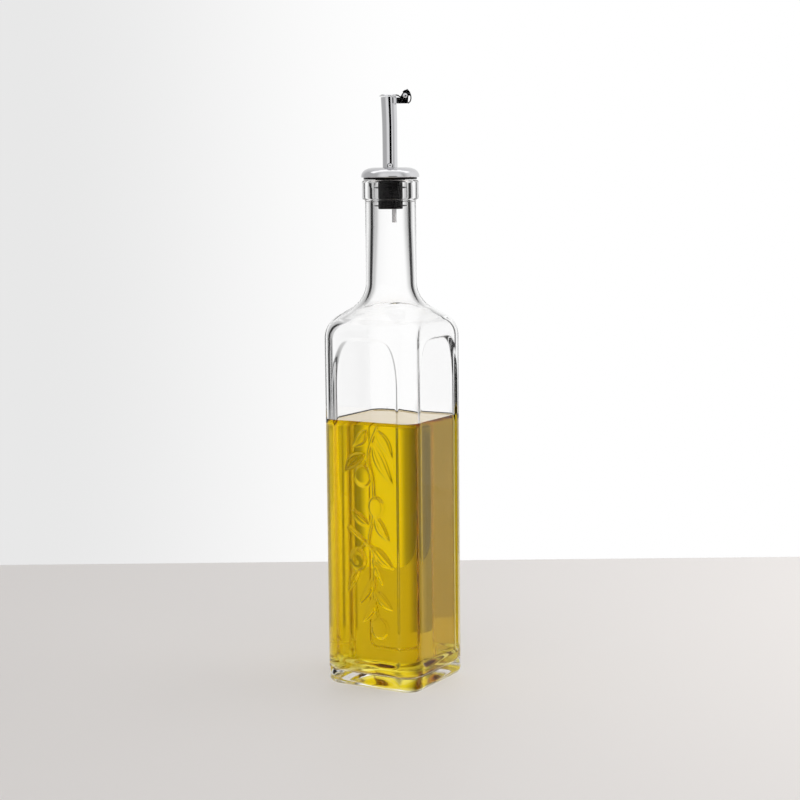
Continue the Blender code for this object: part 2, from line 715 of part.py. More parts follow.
def lid_mesh():
    """The lid: a flat disc with a shallow dome, over the open end of the spout."""
    middle = -SPOUT_LEAN - PIVOT[0]
    turn = np.linspace(0.0, 2.0 * np.pi, 29)[:-1]
    rings = []
    for radius, height in ((4.95, 312.72), (4.95, 313.05), (4.3, 313.25), (4.05, 313.7)):
        across = middle + radius * MM * np.cos(turn)
        along = radius * MM * np.sin(turn)
        level = np.full(len(turn), height * MM - PIVOT[1])
        rings.append(np.column_stack([across, along, level]))
    return loft("flap", rings)


def make_flap(parts, steel):
    """The flap: a lid over the spout, an arm, a knuckle on the pin and a curled tail behind it.

    It is modelled round its own origin, which lies on the pin's axis.
    """
    def local(places):
        return [(x * MM - PIVOT[0], z * MM - PIVOT[1]) for x, z in places]

    flap = new_object("flap", lid_mesh(), steel, parts)
    bits = new_collection("flap_bits")
    half = FLAP_HALF_WIDTH
    knuckle = arc((0.0, 0.0), KNUCKLE_RADIUS, 0.0, 345.0, 23)
    new_object("knuckle", plate("knuckle", knuckle, -half, half), None, bits)
    arm = local(((2.4, 313.35), (3.6, 313.35), (4.6, 313.1), (5.4, 312.5), (6.8, 312.3)))
    new_object("arm", plate("arm", strip_outline(arm, STRAP_SHEET), -half, half), None, bits)
    tail = smooth_path(local(((9.2, 316.3), (10.6, 314.6), (11.3, 312.3), (11.0, 310.2), (9.7, 308.9))), 4)
    new_object("tail", plate("tail", strip_outline(tail, STRAP_SHEET), -half, half), None, bits)
    web = local(((7.4, 313.6), (9.2, 313.0), (11.1, 312.9), (10.6, 314.5), (9.3, 316.1),
                 (8.0, 315.9), (7.0, 315.2)))
    web_half = 0.62 * half
    new_object("web", plate("web", web, -web_half, web_half), None, bits)
    boolean_with(flap, "UNION", bits)
    pin_hole("flap_pin_hole", (0.0, 0.0), bits)
    boolean_with(flap, "DIFFERENCE", bits)
    bpy.data.collections.remove(bits)
    flap.location = (PIVOT[0], 0.0, PIVOT[1])
    return flap


def main():
    """Build every part and turn the pourer as one group."""
    clear_scene()
    parts = new_collection("oil_bottle")
    glass = new_material("clear_glass", (0.92, 0.95, 0.93), 0.03, transmission=1.0)
    oil = new_material("olive_oil", (0.72, 0.58, 0.03), 0.05, transmission=0.6)
    rubber = new_material("black_rubber", (0.012, 0.012, 0.013), 0.45)
    steel = new_material("polished_steel", (0.62, 0.62, 0.61), 0.14, metallic=1.0)
    make_glass(parts, glass)
    make_oil(parts, oil)
    turner = bpy.data.objects.new("pourer_turn", None)
    parts.objects.link(turner)
    turner.rotation_euler = (0.0, 0.0, POURER_TURN)
    pourer = [make_stopper(parts, rubber)]
    for make in (make_cap, make_spout, make_breather, make_bracket, make_pin, make_flap):
        pourer.append(make(parts, steel))
    for piece in pourer:
        piece.parent = turner


main()
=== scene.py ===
# %% [markdown]
# # An olive oil bottle with a steel pourer
# The bottle is square clear glass with tall arched panels on three sides and an olive sprig in low
# relief on one of them. It is two thirds full of oil. A black rubber stopper in its mouth carries a
# steel cap, a steel spout with a hinged flap, and the thin tube that lets air back in while oil runs
# out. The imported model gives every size. This lesson loads it and gives each part the surface and
# the finish that the real one has. Lengths are in metres, worked out from millimetres.

# %% Load the frame
import json
import math

import bpy
import numpy as np
from mathutils import Matrix, Vector

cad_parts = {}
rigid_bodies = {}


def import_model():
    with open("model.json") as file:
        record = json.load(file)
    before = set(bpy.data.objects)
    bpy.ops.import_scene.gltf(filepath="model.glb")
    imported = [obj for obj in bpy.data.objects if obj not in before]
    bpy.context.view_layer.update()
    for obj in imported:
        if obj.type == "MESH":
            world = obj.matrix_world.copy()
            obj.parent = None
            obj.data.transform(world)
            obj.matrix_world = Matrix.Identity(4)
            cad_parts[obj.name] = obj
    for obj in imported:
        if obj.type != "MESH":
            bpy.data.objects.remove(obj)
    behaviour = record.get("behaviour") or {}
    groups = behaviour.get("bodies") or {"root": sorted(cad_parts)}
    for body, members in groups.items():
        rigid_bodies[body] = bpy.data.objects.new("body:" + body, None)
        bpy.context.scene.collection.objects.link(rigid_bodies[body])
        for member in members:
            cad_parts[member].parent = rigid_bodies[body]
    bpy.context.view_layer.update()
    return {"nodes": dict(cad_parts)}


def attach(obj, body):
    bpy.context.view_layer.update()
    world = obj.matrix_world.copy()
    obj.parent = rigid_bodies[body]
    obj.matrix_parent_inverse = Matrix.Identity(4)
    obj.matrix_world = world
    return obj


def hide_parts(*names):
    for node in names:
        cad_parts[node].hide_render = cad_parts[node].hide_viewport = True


MM = 0.001

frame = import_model()
print("nodes:", sorted(frame["nodes"]))

# %% [markdown]
# ## A mesh from a grid of points
# Most parts here are turned, moulded or spun, so their surface is a grid: one direction goes round
# the part and the other goes along its profile. Modelling by hand or with modifiers would also do,
# but a grid keeps every curve a formula that can be read and changed. The helpers below turn arrays
# into a mesh without visiting the points one by one.

# %% Grid helpers
def grid_quads(rows, columns, start=0, closed=True):
    """Corner numbers of the quads of a grid stored row by row.

    Each quad goes (row, column), (row, next column), (next row, next column), (next row, column).
    With rows going up and columns going counter-clockwise, that order faces away from the middle.
    """
    number = start + np.arange(rows * columns).reshape(rows, columns)
    after = np.roll(number, -1, axis=1)
    last = columns if closed else columns - 1
    quads = np.stack([number[:-1], after[:-1], after[1:], number[1:]], axis=-1)
    return quads[:, :last].reshape(-1, 4)


def new_piece(name, points, faces, material, body, stands_for=()):
    """Put a mesh in the scene, smooth and at the origin, and let it ride on a body."""
    mesh = bpy.data.meshes.new(name)
    mesh.from_pydata(np.asarray(points, float).reshape(-1, 3).tolist(), [], [list(f) for f in faces])
    mesh.materials.append(material)
    mesh.shade_smooth()
    mesh.validate()
    piece = bpy.data.objects.new(name, mesh)
    bpy.context.scene.collection.objects.link(piece)
    if body is not None:
        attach(piece, body)
    if stands_for:
        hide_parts(*stands_for)
    triangles = sum(len(f) - 2 for f in faces)
    print(f"{name}: {len(mesh.vertices)} points, {triangles} triangles")
    return piece


def ramp(value, start, end):
    """0 before start, 1 after end, and a smooth S between: 3t squared less 2t cubed."""
    t = np.clip((value - start) / (end - start), 0.0, 1.0)
    return t * t * (3.0 - 2.0 * t)


def arc(across, up, radius, start, end, steps):
    """Points of an arc round (across, up), from start to end in degrees, as an array of pairs."""
    turn = np.radians(np.linspace(start, end, steps + 1))
    return np.column_stack([across + radius * np.cos(turn), up + radius * np.sin(turn)])


# %% [markdown]
# ## Colours and nodes
# Colours are given as the hex codes a colour picker shows, and one function turns them into the
# linear values that shaders use. One function adds a shader node with its settings and links.

# %% Material helpers
def linear(code):
    """The linear colour of an sRGB hex code, with an alpha of 1."""
    shown = np.array([int(code[i:i + 2], 16) for i in (1, 3, 5)]) / 255.0
    low, high = shown / 12.92, ((shown + 0.055) / 1.055) ** 2.4
    return (*np.where(shown <= 0.04045, low, high).tolist(), 1.0)


def node(tree, kind, settings=None, links=None):
    """Add a node. Settings are attributes, or sockets by name or number; links give a socket its source."""
    made = tree.nodes.new(kind)
    for name, value in (settings or {}).items():
        if isinstance(name, int) or name in made.inputs:
            made.inputs[name].default_value = value
        else:
            setattr(made, name, value)
    for name, source in (links or {}).items():
        tree.links.new(source, made.inputs[name])
    return made


def new_finish(name):
    """An empty node material, with its tree and its output node."""
    made = bpy.data.materials.new(name)
    made.use_nodes = True
    made.node_tree.nodes.clear()
    return made, made.node_tree, made.node_tree.nodes.new("ShaderNodeOutputMaterial")


# %% [markdown]
# ### Clear soda-lime glass, moulded and fire polished
# Bottle glass with its iron taken out is nearly colourless, with an index of about 1.52. Its skin is
# as smooth as a liquid, so the roughness is zero, but the mould leaves soft waves a few millimetres
# apart that bend the reflections a little. The studio below is bright all round, so the mirror on
# the outer skin is toned down, as a polarising filter would do, and the panels behind show clearly.

# %% Glass
GLASS_INDEX, WAVE_LENGTH, WAVE_HEIGHT = 1.52, 9.0 * MM, 0.05 * MM
glass_finish, tree, out = new_finish("clear_soda_lime_glass")
place = node(tree, "ShaderNodeTexCoord")
waves = node(tree, "ShaderNodeTexNoise", {"Scale": 1.0 / WAVE_LENGTH, "Detail": 1.0},
             {"Vector": place.outputs["Object"]})
skin = node(tree, "ShaderNodeBump", {"Strength": 0.12, "Distance": WAVE_HEIGHT},
            {"Height": waves.outputs["Fac"]})
glass_shader = node(tree, "ShaderNodeBsdfPrincipled",
                    {"Base Color": linear("#ffffff"), "Roughness": 0.0, "IOR": GLASS_INDEX,
                     "Transmission Weight": 1.0, "Specular Tint": (0.15, 0.15, 0.15, 1.0)},
                    {"Normal": skin.outputs["Normal"]})
tree.links.new(glass_shader.outputs["BSDF"], out.inputs["Surface"])
print("glass index", GLASS_INDEX)

# %% [markdown]
# ### Olive oil
# Oil is clear and bends light almost as much as glass, with an index of 1.47. Its colour comes from
# its depth: blue light is gone within a centimetre, green fades slowly and red hardly at all. So the
# colour belongs in the volume, where a long way through is deeper in colour than a short one.

# %% Oil
OIL_INDEX = 1.47
OIL_PASSES, OIL_STRENGTH = (0.958, 0.91, 0.0, 1.0), 125.0


def oil_kind(name, surface):
    """An oil finish: the surface's settings, and the depth of colour that all of the oil has."""
    made, tree, out = new_finish(name)
    shader = node(tree, "ShaderNodeBsdfPrincipled", {"Roughness": 0.0, "IOR": OIL_INDEX, **surface})
    depth = node(tree, "ShaderNodeVolumeAbsorption", {"Color": OIL_PASSES, "Density": OIL_STRENGTH})
    tree.links.new(shader.outputs["BSDF"], out.inputs["Surface"])
    tree.links.new(depth.outputs["Volume"], out.inputs["Volume"])
    return made


oil_finish = oil_kind("golden_olive_oil", {"Base Color": linear("#fffadc"), "Transmission Weight": 1.0,
                                           "Specular Tint": (0.1, 0.08, 0.02, 1.0)})
red_left, green_left = (math.exp(-(1.0 - share) * OIL_STRENGTH * 0.05) for share in OIL_PASSES[:2])
print(f"oil index {OIL_INDEX}; 5 cm of it let through {red_left:.2f} of red and {green_left:.2f} of green")

# %% [markdown]
# ### The top of the oil, with painted light
# Looked at from just above, the top of the oil is a pale beige sheet: it shows the bright room over
# it and the light that comes up through it. A renderer finds few of those paths inside a closed
# bottle. So that light is painted on: a second, mostly opaque finish of that beige lets a tenth through.

# %% Oil top with painted light
# The beige is painted light: the room's reflection and the light from below.
painted_light_finish = oil_kind("olive_oil_painted_light", {"Base Color": linear("#e0c789"), "Transmission Weight": 0.1})
print("finish for the top of the oil:", painted_light_finish.name)

# %% [markdown]
# ### Polished stainless steel
# The cap, spout, bracket and flap are stainless steel, polished on a soft wheel. Steel is a neutral
# grey, darker than silver. The wheel leaves hairlines a tenth of a millimetre apart, which are too
# fine to see. They are drawn half a millimetre apart, and only change how sharp a reflection is.

# %% Steel
HAIRLINE = 0.5 * MM
steel_finish, tree, out = new_finish("polished_stainless_steel")
place = node(tree, "ShaderNodeTexCoord")
hairlines = node(tree, "ShaderNodeMapping", {"Scale": (1.0, 1.0, 0.06)}, {"Vector": place.outputs["Object"]})
grain = node(tree, "ShaderNodeTexNoise", {"Scale": 1.0 / HAIRLINE, "Detail": 2.0},
             {"Vector": hairlines.outputs["Vector"]})
polish = node(tree, "ShaderNodeMapRange", {"From Min": 0.3, "From Max": 0.7, "To Min": 0.05, "To Max": 0.1},
              {"Value": grain.outputs["Fac"]})
steel_shader = node(tree, "ShaderNodeBsdfPrincipled", {"Base Color": linear("#cbcbcd"), "Metallic": 1.0},
                    {"Roughness": polish.outputs["Result"]})
tree.links.new(steel_shader.outputs["BSDF"], out.inputs["Surface"])
print("hairlines drawn", HAIRLINE / MM, "mm apart")

# %% [markdown]
# ### Black rubber
# The stopper is moulded rubber, black with carbon. It is smooth from the mould, so it has a soft
# sheen, and handling leaves a slight cloudiness. Seen through two walls of glass it is almost black.

# %% Rubber
CLOUD = 2.0 * MM
rubber_finish, tree, out = new_finish("black_moulded_rubber")
place = node(tree, "ShaderNodeTexCoord")
cloud = node(tree, "ShaderNodeTexNoise", {"Scale": 1.0 / CLOUD, "Detail": 3.0},
             {"Vector": place.outputs["Object"]})
sheen = node(tree, "ShaderNodeMapRange", {"To Min": 0.14, "To Max": 0.26}, {"Value": cloud.outputs["Fac"]})
rubber_shader = node(tree, "ShaderNodeBsdfPrincipled",
                     {"Base Color": linear("#040304"), "IOR": 1.5, "Specular IOR Level": 0.1},
                     {"Roughness": sheen.outputs["Result"]})
tree.links.new(rubber_shader.outputs["BSDF"], out.inputs["Surface"])
print("cloudiness", CLOUD / MM, "mm across")

# %% [markdown]
# ## The section of the bottle
# Cut level at any height, the bottle is a square with round corners, and the corners grow until the
# neck is a circle. A section needs two numbers: half its width and the radius of its corners. The
# profile of the shoulder is drawn at the corner, as a convex arc, a straight slope and a concave arc.
# The base is pushed up inside a flat ring, so that the bottle can't rock on a swollen middle, and
# the floor inside is domed, because the glass is thickest where it cooled last.

# %% Sizes of the glass
HALF_SIDE, CORNER = 28.6 * MM, 9.4 * MM
HEEL = 3.8 * MM
RING_HALF, PUNT_RISE = 19.5 * MM, 4.0 * MM
SHOULDER_START, SHOULDER_ROUND, FLARE_ROUND = 186.2 * MM, 12.6 * MM, 16.0 * MM
SHOULDER_ANGLE = 62.0
ROUND_FROM, NECK = 23.0 * MM, 13.45 * MM
WALL, CORNER_WALL = 3.1 * MM, 3.1 * MM
INNER_HALF, INNER_CORNER, INNER_ROUND_FROM = HALF_SIDE - WALL, 6.3 * MM, 19.5 * MM
FLOOR, FLOOR_ROUND, FLOOR_RISE, FLOOR_EDGE = 7.0 * MM, 4.5 * MM, 2.5 * MM, 20.9 * MM
MOUTH_RING, GLASS_TOP, BORE = 15.0 * MM, 269.1 * MM, 9.0 * MM
LIP, THROAT = 1.3 * MM, 0.9 * MM
OIL_LEVEL = 142.7 * MM


def section_reach(half, corner, angles):
    """Distance from the middle to a rounded square.

    On the flat it is half over the cosine of the angle. On the corner it is where the ray meets the
    circle of the corner, the larger root of a quadratic.
    """
    folded = np.abs((angles + math.pi / 4.0) % (math.pi / 2.0) - math.pi / 4.0)
    middle = half - corner
    along = middle * (np.cos(folded) + np.sin(folded))
    on_corner = along + np.sqrt(np.maximum(along ** 2 - (2.0 * middle ** 2 - corner ** 2), 0.0))
    return np.where(half * np.tan(folded) <= middle, half / np.cos(folded), on_corner)


def shoulder(half, corner, round_from, inset, steps):
    """Rows of (half, corner, height) up the shoulder, set in from the outer glass by inset.

    The corner's reach follows convex arc, slope and concave arc. As the reach shrinks to round_from,
    the corner's share of the half width grows evenly to one, which is a circle.
    """
    root = math.sqrt(2.0)
    outer = (HALF_SIDE - CORNER) * root + CORNER
    turn = math.radians(SHOULDER_ANGLE)
    drop = outer - NECK - (SHOULDER_ROUND + FLARE_ROUND) * (1.0 - math.cos(turn))
    neck_start = SHOULDER_START + (SHOULDER_ROUND + FLARE_ROUND) * math.sin(turn) + drop / math.tan(turn)
    convex = arc(outer - SHOULDER_ROUND, SHOULDER_START, SHOULDER_ROUND - inset, 0.0, SHOULDER_ANGLE, steps)
    concave = arc(NECK + FLARE_ROUND, neck_start, FLARE_ROUND + inset, 180.0 + SHOULDER_ANGLE, 180.0, steps)
    slope = np.linspace(convex[-1], concave[0], 6)[1:-1]
    reach, height = np.vstack([convex, slope, concave]).T
    start = (half - corner) * root + corner
    share = corner / half + (1.0 - corner / half) * np.clip((start - reach) / (start - round_from), 0.0, 1.0)
    level_half = reach / (root - (root - 1.0) * share)
    return np.column_stack([level_half, share * level_half, height])


def level(half, corner, height):
    """One row of (half, corner, height)."""
    return np.array([[half, corner, height]])


outer_shoulder = shoulder(HALF_SIDE, CORNER, ROUND_FROM, 0.0, 22)
print("the neck starts at", round(outer_shoulder[-1, 2] / MM, 2), "mm")

# %% [markdown]
# ## Arched panels
# Three sides have a panel sunk by 1.5 mm, with upright edges, round lower corners and an arched top
# that leans in slowly and then turns flat. The fourth side is plain, which leaves room for a label.
# A panel could be cut out with a Boolean, but its edge is a soft slope, as moulded glass can't be
# sharp. So the distance from any place to the outline sets how deep the surface lies there.

# %% Panel depth
PANEL_DEPTH, PANEL_HALF, PANEL_FOOT, PANEL_TOP = 1.5 * MM, 18.7 * MM, 14.0 * MM, 186.6 * MM
ARCH_HEIGHT, ARCH_POWER, FOOT_ROUND = 26.0 * MM, 5.0, 3.0 * MM


def panel_depth(across, up, slope_start, slope_end):
    """How deep the panel lies at each place of a side.

    Above the spring of the arch the outline is |across / half| to the fifth plus (up / rise) squared
    equal to 1, and the distance to it is the fifth root's excess over one, divided by its slope.
    Below it the outline is a box with round corners. The slope is a soft S from the distance
    slope_start to slope_end, counted inwards from the outline.
    """
    side = np.maximum(np.abs(across), 1e-6)
    rise = np.maximum(up - (PANEL_TOP - ARCH_HEIGHT), 1e-6)
    fill = (side / PANEL_HALF) ** ARCH_POWER + (rise / ARCH_HEIGHT) ** 2
    root = fill ** (1.0 / ARCH_POWER)
    slope_across = root / fill / side * (side / PANEL_HALF) ** ARCH_POWER
    slope_up = root / fill * 2.0 / ARCH_POWER / rise * (rise / ARCH_HEIGHT) ** 2
    arch = (1.0 - root) / np.hypot(slope_across, slope_up)
    out_across = side - (PANEL_HALF - FOOT_ROUND)
    out_down = PANEL_FOOT + FOOT_ROUND - up
    box = (np.hypot(np.maximum(out_across, 0.0), np.maximum(out_down, 0.0))
           + np.minimum(np.maximum(out_across, out_down), 0.0))
    inside = np.where(up > PANEL_TOP - ARCH_HEIGHT, arch, FOOT_ROUND - box)
    return PANEL_DEPTH * ramp(inside, slope_start, slope_end)


print("panel", 2.0 * PANEL_HALF / MM, "mm wide and", round((PANEL_TOP - PANEL_FOOT) / MM, 1), "mm high")

# %% [markdown]
# ## The olive sprig
# The sprig is cut into the mould, so it stands up from the panel by a little over a millimetre. Its
# edges are steep and its tops are gentle, so clear glass shows it as bright and dark outlines.
# It is drawn here as a height at each place of the panel: twigs are round ridges along a curve,
# olives are flattened balls, and leaves are pointed, bowed pads with a groove for the rib.

# %% Sprig height
TWIGS = (
    # radius in mm, then the places it passes
    (0.8, ((6.5, 141.0), (2.5, 132.0), (1.0, 124.0), (3.6, 114.0), (4.2, 104.5))),
    (0.8, ((-11.5, 86.5), (-3.0, 80.5), (4.0, 74.0), (4.2, 62.0), (3.6, 52.0), (6.2, 39.0))),
    (0.65, ((4.2, 99.5), (3.4, 92.0), (1.4, 84.0), (0.4, 78.0))),
    (0.6, ((-0.5, 123.0), (-2.6, 119.5))),
    (0.6, ((-1.0, 79.2), (-4.6, 75.0))),
)
OLIVES = (
    # across, up, half width, half height, in mm
    (-2.6, 114.8, 5.2, 5.8),
    (5.4, 98.6, 4.6, 5.6),
    (-6.2, 69.6, 4.9, 6.0),
    (6.9, 33.6, 5.2, 5.8),
)
LEAVES = (
    # foot across and up, tip across and up, half width, bow, in mm
    (5.0, 140.0, 15.6, 124.5, 2.9, 0.8),
    (3.4, 133.5, 15.8, 111.0, 3.3, -1.2),
    (-1.4, 126.5, -13.6, 117.0, 3.2, -1.0),
    (-0.2, 139.5, -8.6, 130.0, 2.9, 0.9),
    (4.6, 94.0, 13.4, 80.5, 2.9, -0.9),
    (0.8, 88.5, -9.6, 96.5, 2.5, 0.8),
    (3.8, 77.0, 15.2, 66.5, 3.0, -0.9),
    (2.6, 71.0, 8.8, 57.0, 1.8, 0.6),
    (-5.2, 64.6, -12.4, 52.0, 1.7, -0.6),
    (3.2, 60.5, -6.0, 45.5, 1.9, 0.8),
    (4.4, 54.0, 15.2, 44.0, 2.8, -0.9),
    (4.2, 50.0, -3.4, 36.0, 2.4, 0.7),
)
TWIG_LIFT, OLIVE_RISE, LEAF_RISE = 1.3, 1.35, 1.2
RIB_DEPTH, RIB_WIDTH = 0.32, 0.42


def smooth_path(places, per_span=8):
    """A curve through a few places: cubics whose slopes come from the places before and after."""
    knots = np.array([places[0], *places, places[-1]], float)
    t = np.linspace(0.0, 1.0, per_span, endpoint=False)[:, None]
    spans = [0.5 * (2.0 * b + (c - a) * t + (2.0 * a - 5.0 * b + 4.0 * c - d) * t ** 2
                    + (3.0 * b - a - 3.0 * c + d) * t ** 3)
             for a, b, c, d in zip(knots[:-3], knots[1:-2], knots[2:-1], knots[3:])]
    return np.vstack([*spans, knots[-1:]])


def twig_height(across, up, radius, places):
    """A round ridge: the root of radius squared less the distance to the curve squared, lifted a little."""
    path = smooth_path(places)
    start, step = path[:-1], np.diff(path, axis=0)
    to_point = np.stack([across, up], -1)[..., None, :] - start
    share = np.clip((to_point * step).sum(-1) / (step ** 2).sum(-1), 0.0, 1.0)
    distance = np.linalg.norm(to_point - share[..., None] * step, axis=-1).min(-1)
    return np.sqrt(np.maximum(radius ** 2 - distance ** 2, 0.0)) * TWIG_LIFT


def olive_height(across, up, middle_across, middle_up, half_width, half_height):
    """A flattened ball: its rise times the root of one less the sixth power of the share of its radius."""
    away = ((across - middle_across) / half_width) ** 2 + ((up - middle_up) / half_height) ** 2
    return OLIVE_RISE * np.maximum(1.0 - away ** 3, 0.0) ** 0.5


def leaf_height(across, up, foot_across, foot_up, tip_across, tip_up, half_width, bow):
    """A pointed pad, steep at its edge, with a groove along the bowed middle.

    Its half width grows and falls as the sine of the share of its length. Across it the rise falls
    off as the root of one less the cube of the share of the half width.
    """
    foot, tip = np.array([foot_across, foot_up]), np.array([tip_across, tip_up])
    length = np.linalg.norm(tip - foot)
    along = (tip - foot) / length
    place = np.stack([across, up], -1) - foot
    share = np.clip(place @ along / length, 0.001, 0.999)
    side = place @ np.array([-along[1], along[0]]) - bow * np.sin(math.pi * share)
    width = half_width * np.sin(math.pi * share ** 0.85)
    away = np.clip(np.abs(side) / width, 0.0, 1.0)
    inside = np.abs(place @ along / length - 0.5) < 0.5
    rib = 1.0 - RIB_DEPTH * np.exp(-(side / RIB_WIDTH) ** 2)
    return inside * LEAF_RISE * (1.0 - away ** 3) ** 0.5 * rib * np.sin(math.pi * share) ** 0.3


def sprig_height(across, up):
    """The highest of all twigs, olives and leaves at each place, averaged over a third of a millimetre."""
    total = np.zeros(across.shape)
    steps = ((0.0, 0.0), (0.17, 0.0), (-0.17, 0.0), (0.0, 0.17), (0.0, -0.17))
    for shift_across, shift_up in steps:
        x, z = across / MM + shift_across, up / MM + shift_up
        shapes = [twig_height(x, z, radius, places) for radius, places in TWIGS]
        shapes += [olive_height(x, z, *olive) for olive in OLIVES]
        shapes += [leaf_height(x, z, *leaf) for leaf in LEAVES]
        total += np.max(shapes, axis=0)
    return total / len(steps) * MM


print("the sprig has", len(TWIGS), "twigs,", len(OLIVES), "olives and", len(LEAVES), "leaves")

# %% [markdown]
# ## The glass
# The bottle is one closed grid: from the middle of the base out, up the outside, over the lip and
# down the inside to the middle of the floor. Columns stand close together on the front, at the edges
# of the panels and round the corners. The rows through the sprig are needed on the front alone, so
# the other sides leave them out, and one many-sided face beside the front takes up the difference.

# %% Columns
# Columns are even out to EVEN_TO mm, then EDGE_STEP mm apart, and start on the corner at CORNER_FROM
# degrees of its turn. The front has one every half millimetre, because the sprig needs it.
EVEN_TO, EDGE_STEP, CORNER_FROM = 17.9, 0.3, 14.0
FRONT_SPACING, SIDE_SPACING = 0.5, 0.95


def side_columns(spacing):
    """Angles across one side, in radians from its middle: even over the panel, close at its edges.

    A place on the flat lies half the width out. A place on the corner lies on its circle, so it is
    out by the circle's middle plus the radius times the cosine of its turn.
    """
    inner = np.linspace(-EVEN_TO, EVEN_TO, int(round(2.0 * EVEN_TO / spacing)) + 1) * MM
    edge = np.arange(18.2, 20.9, EDGE_STEP) * MM
    corner = HALF_SIDE - CORNER + CORNER * np.sin(np.radians(np.linspace(CORNER_FROM, 45.0, 7)))
    reach = np.concatenate([edge, corner])
    across = np.concatenate([-reach[::-1], inner, reach[:-1]])
    turn = np.arcsin(np.maximum(np.abs(across) - (HALF_SIDE - CORNER), 0.0) / CORNER)
    return np.arctan2(across, HALF_SIDE - CORNER + CORNER * np.cos(turn))


sides = [side_columns(spacing) for spacing in (SIDE_SPACING, SIDE_SPACING, SIDE_SPACING, FRONT_SPACING)]
angles = np.concatenate([side + math.pi / 2.0 * turn for turn, side in enumerate(sides)])
side_of = np.repeat(np.arange(4), [len(side) for side in sides])
front = side_of == 3
print("columns:", len(angles), "of which on the front:", int(front.sum()))

# %% Rows up the outside
SPRIG_LOW, SPRIG_HIGH = 26.0 * MM, 143.5 * MM
sprig_rows = np.arange(SPRIG_LOW, SPRIG_HIGH, 0.5 * MM)
heights = np.concatenate([[5.5 * MM, 8.5 * MM], np.arange(11.0, 19.0, 0.5) * MM, [21.0 * MM, 23.5 * MM],
                          sprig_rows, [145.0 * MM, 152.0 * MM], np.arange(159.0, 186.0, 0.6) * MM])
body_rows = np.column_stack([np.full(len(heights), HALF_SIDE), np.full(len(heights), CORNER), heights])

# Towards the middle of the base the sections turn round: the corner's share of the half width grows
# from 0.3 at the ring to 1. The base rises as one less the squared share of the ring, to the power 1.5.
punt_halves = (2.0, 4.0, 6.0, 8.0, 10.0, 11.5, 13.0, 14.5, 16.0, 17.0, 18.0, 18.8, 19.5, 22.0)
punt = [level(half * MM, (1.0 - 0.7 * half / punt_halves[-1]) * half * MM,
              PUNT_RISE * max(0.0, 1.0 - (half * MM / RING_HALF) ** 2) ** 1.5)
        for half in punt_halves]
heel = [level(HALF_SIDE - HEEL + x, CORNER - HEEL + x, z) for x, z in arc(0.0, HEEL, HEEL, -90.0, 0.0, 10)]
ring = [level(r * MM, r * MM, z * MM) for r, z in (
    (13.45, 240.0), (13.45, 257.6), (13.5, 258.2), (13.65, 258.65), (13.95, 258.9), (14.35, 259.05),
    (14.7, 259.3), (14.9, 259.7), (15.0, 260.3), (15.0, 263.0), (15.0, 267.2))]
lip = [level(x, x, z) for x, z in arc(MOUTH_RING - LIP, GLASS_TOP - LIP, LIP, 0.0, 90.0, 8)]
throat = [level(x, x, z) for x, z in arc(BORE + THROAT, GLASS_TOP - THROAT, THROAT, 90.0, 180.0, 7)]
outside = np.vstack([*punt, *heel, body_rows, outer_shoulder, *ring, *lip])
print("rows outside:", len(outside))


# %% Rows down the inside
def dome(sunk):
    """Rows of the domed floor, from its edge inwards, lowered by sunk.

    The dome falls below its middle as the square of the distance out.
    """
    rings = ((19.0, 2.6), (17.0, 3.6), (15.0, 4.6), (12.5, 5.5), (10.0, 5.5), (7.5, 5.0), (5.0, 4.0),
             (2.5, 2.2))
    return [level(half * MM, corner * MM, FLOOR - sunk + FLOOR_RISE * (1.0 - (half * MM / FLOOR_EDGE) ** 2))
            for half, corner in rings]


inner_shoulder = shoulder(INNER_HALF, INNER_CORNER, INNER_ROUND_FROM, CORNER_WALL, 14)[::-1]
bore = [level(BORE, BORE, 262.0 * MM), level(BORE + 0.15 * MM, BORE + 0.15 * MM, 245.0 * MM)]
inner_wall = [level(INNER_HALF, INNER_CORNER, z * MM) for z in (160.0, 120.0, 80.0, 40.0)]
floor = [level(INNER_HALF - FLOOR_ROUND + x, INNER_CORNER - FLOOR_ROUND + x, z)
         for x, z in arc(0.0, FLOOR + FLOOR_ROUND, FLOOR_ROUND, 0.0, -90.0, 9)]
floor += dome(0.0)
inside = np.vstack([*throat, *bore, inner_shoulder, *inner_wall, *floor])
print("rows inside:", len(inside))

# %% [markdown]
# The edge of a panel starts outside its outline and ends inside it. On the back the edge is tight
# beside the oil. Above the oil it grows wide and the panel fades to a fifth of its depth, because a
# sharp panel behind empty glass would draw hard dark lines through the whole bottle.

# %% The glass surface
# Sides count from +X towards +Y. Rows with a half width under PRESSED_FROM are neck and base.
BACK_SIDE, PLAIN_SIDE = 1, 2
EDGE_OUT, EDGE_IN, BACK_EDGE_IN = -1.4 * MM, 1.2 * MM, 0.1 * MM
FAINT_FROM, FAINT_TO, FAINT_WIDER, FAINT_SHARE = 118.0 * MM, 142.0 * MM, 5.5 * MM, 0.8
PRESSED_FROM = 20.0 * MM


def ring_points(rows, angles):
    """Points of each row's section at each angle, as an array of rows by columns by three."""
    half, corner, height = (rows[:, i:i + 1] for i in range(3))
    reach = section_reach(half, corner, angles[None, :])
    height = np.broadcast_to(height, reach.shape)
    return np.stack([reach * np.cos(angles), reach * np.sin(angles), height], -1)


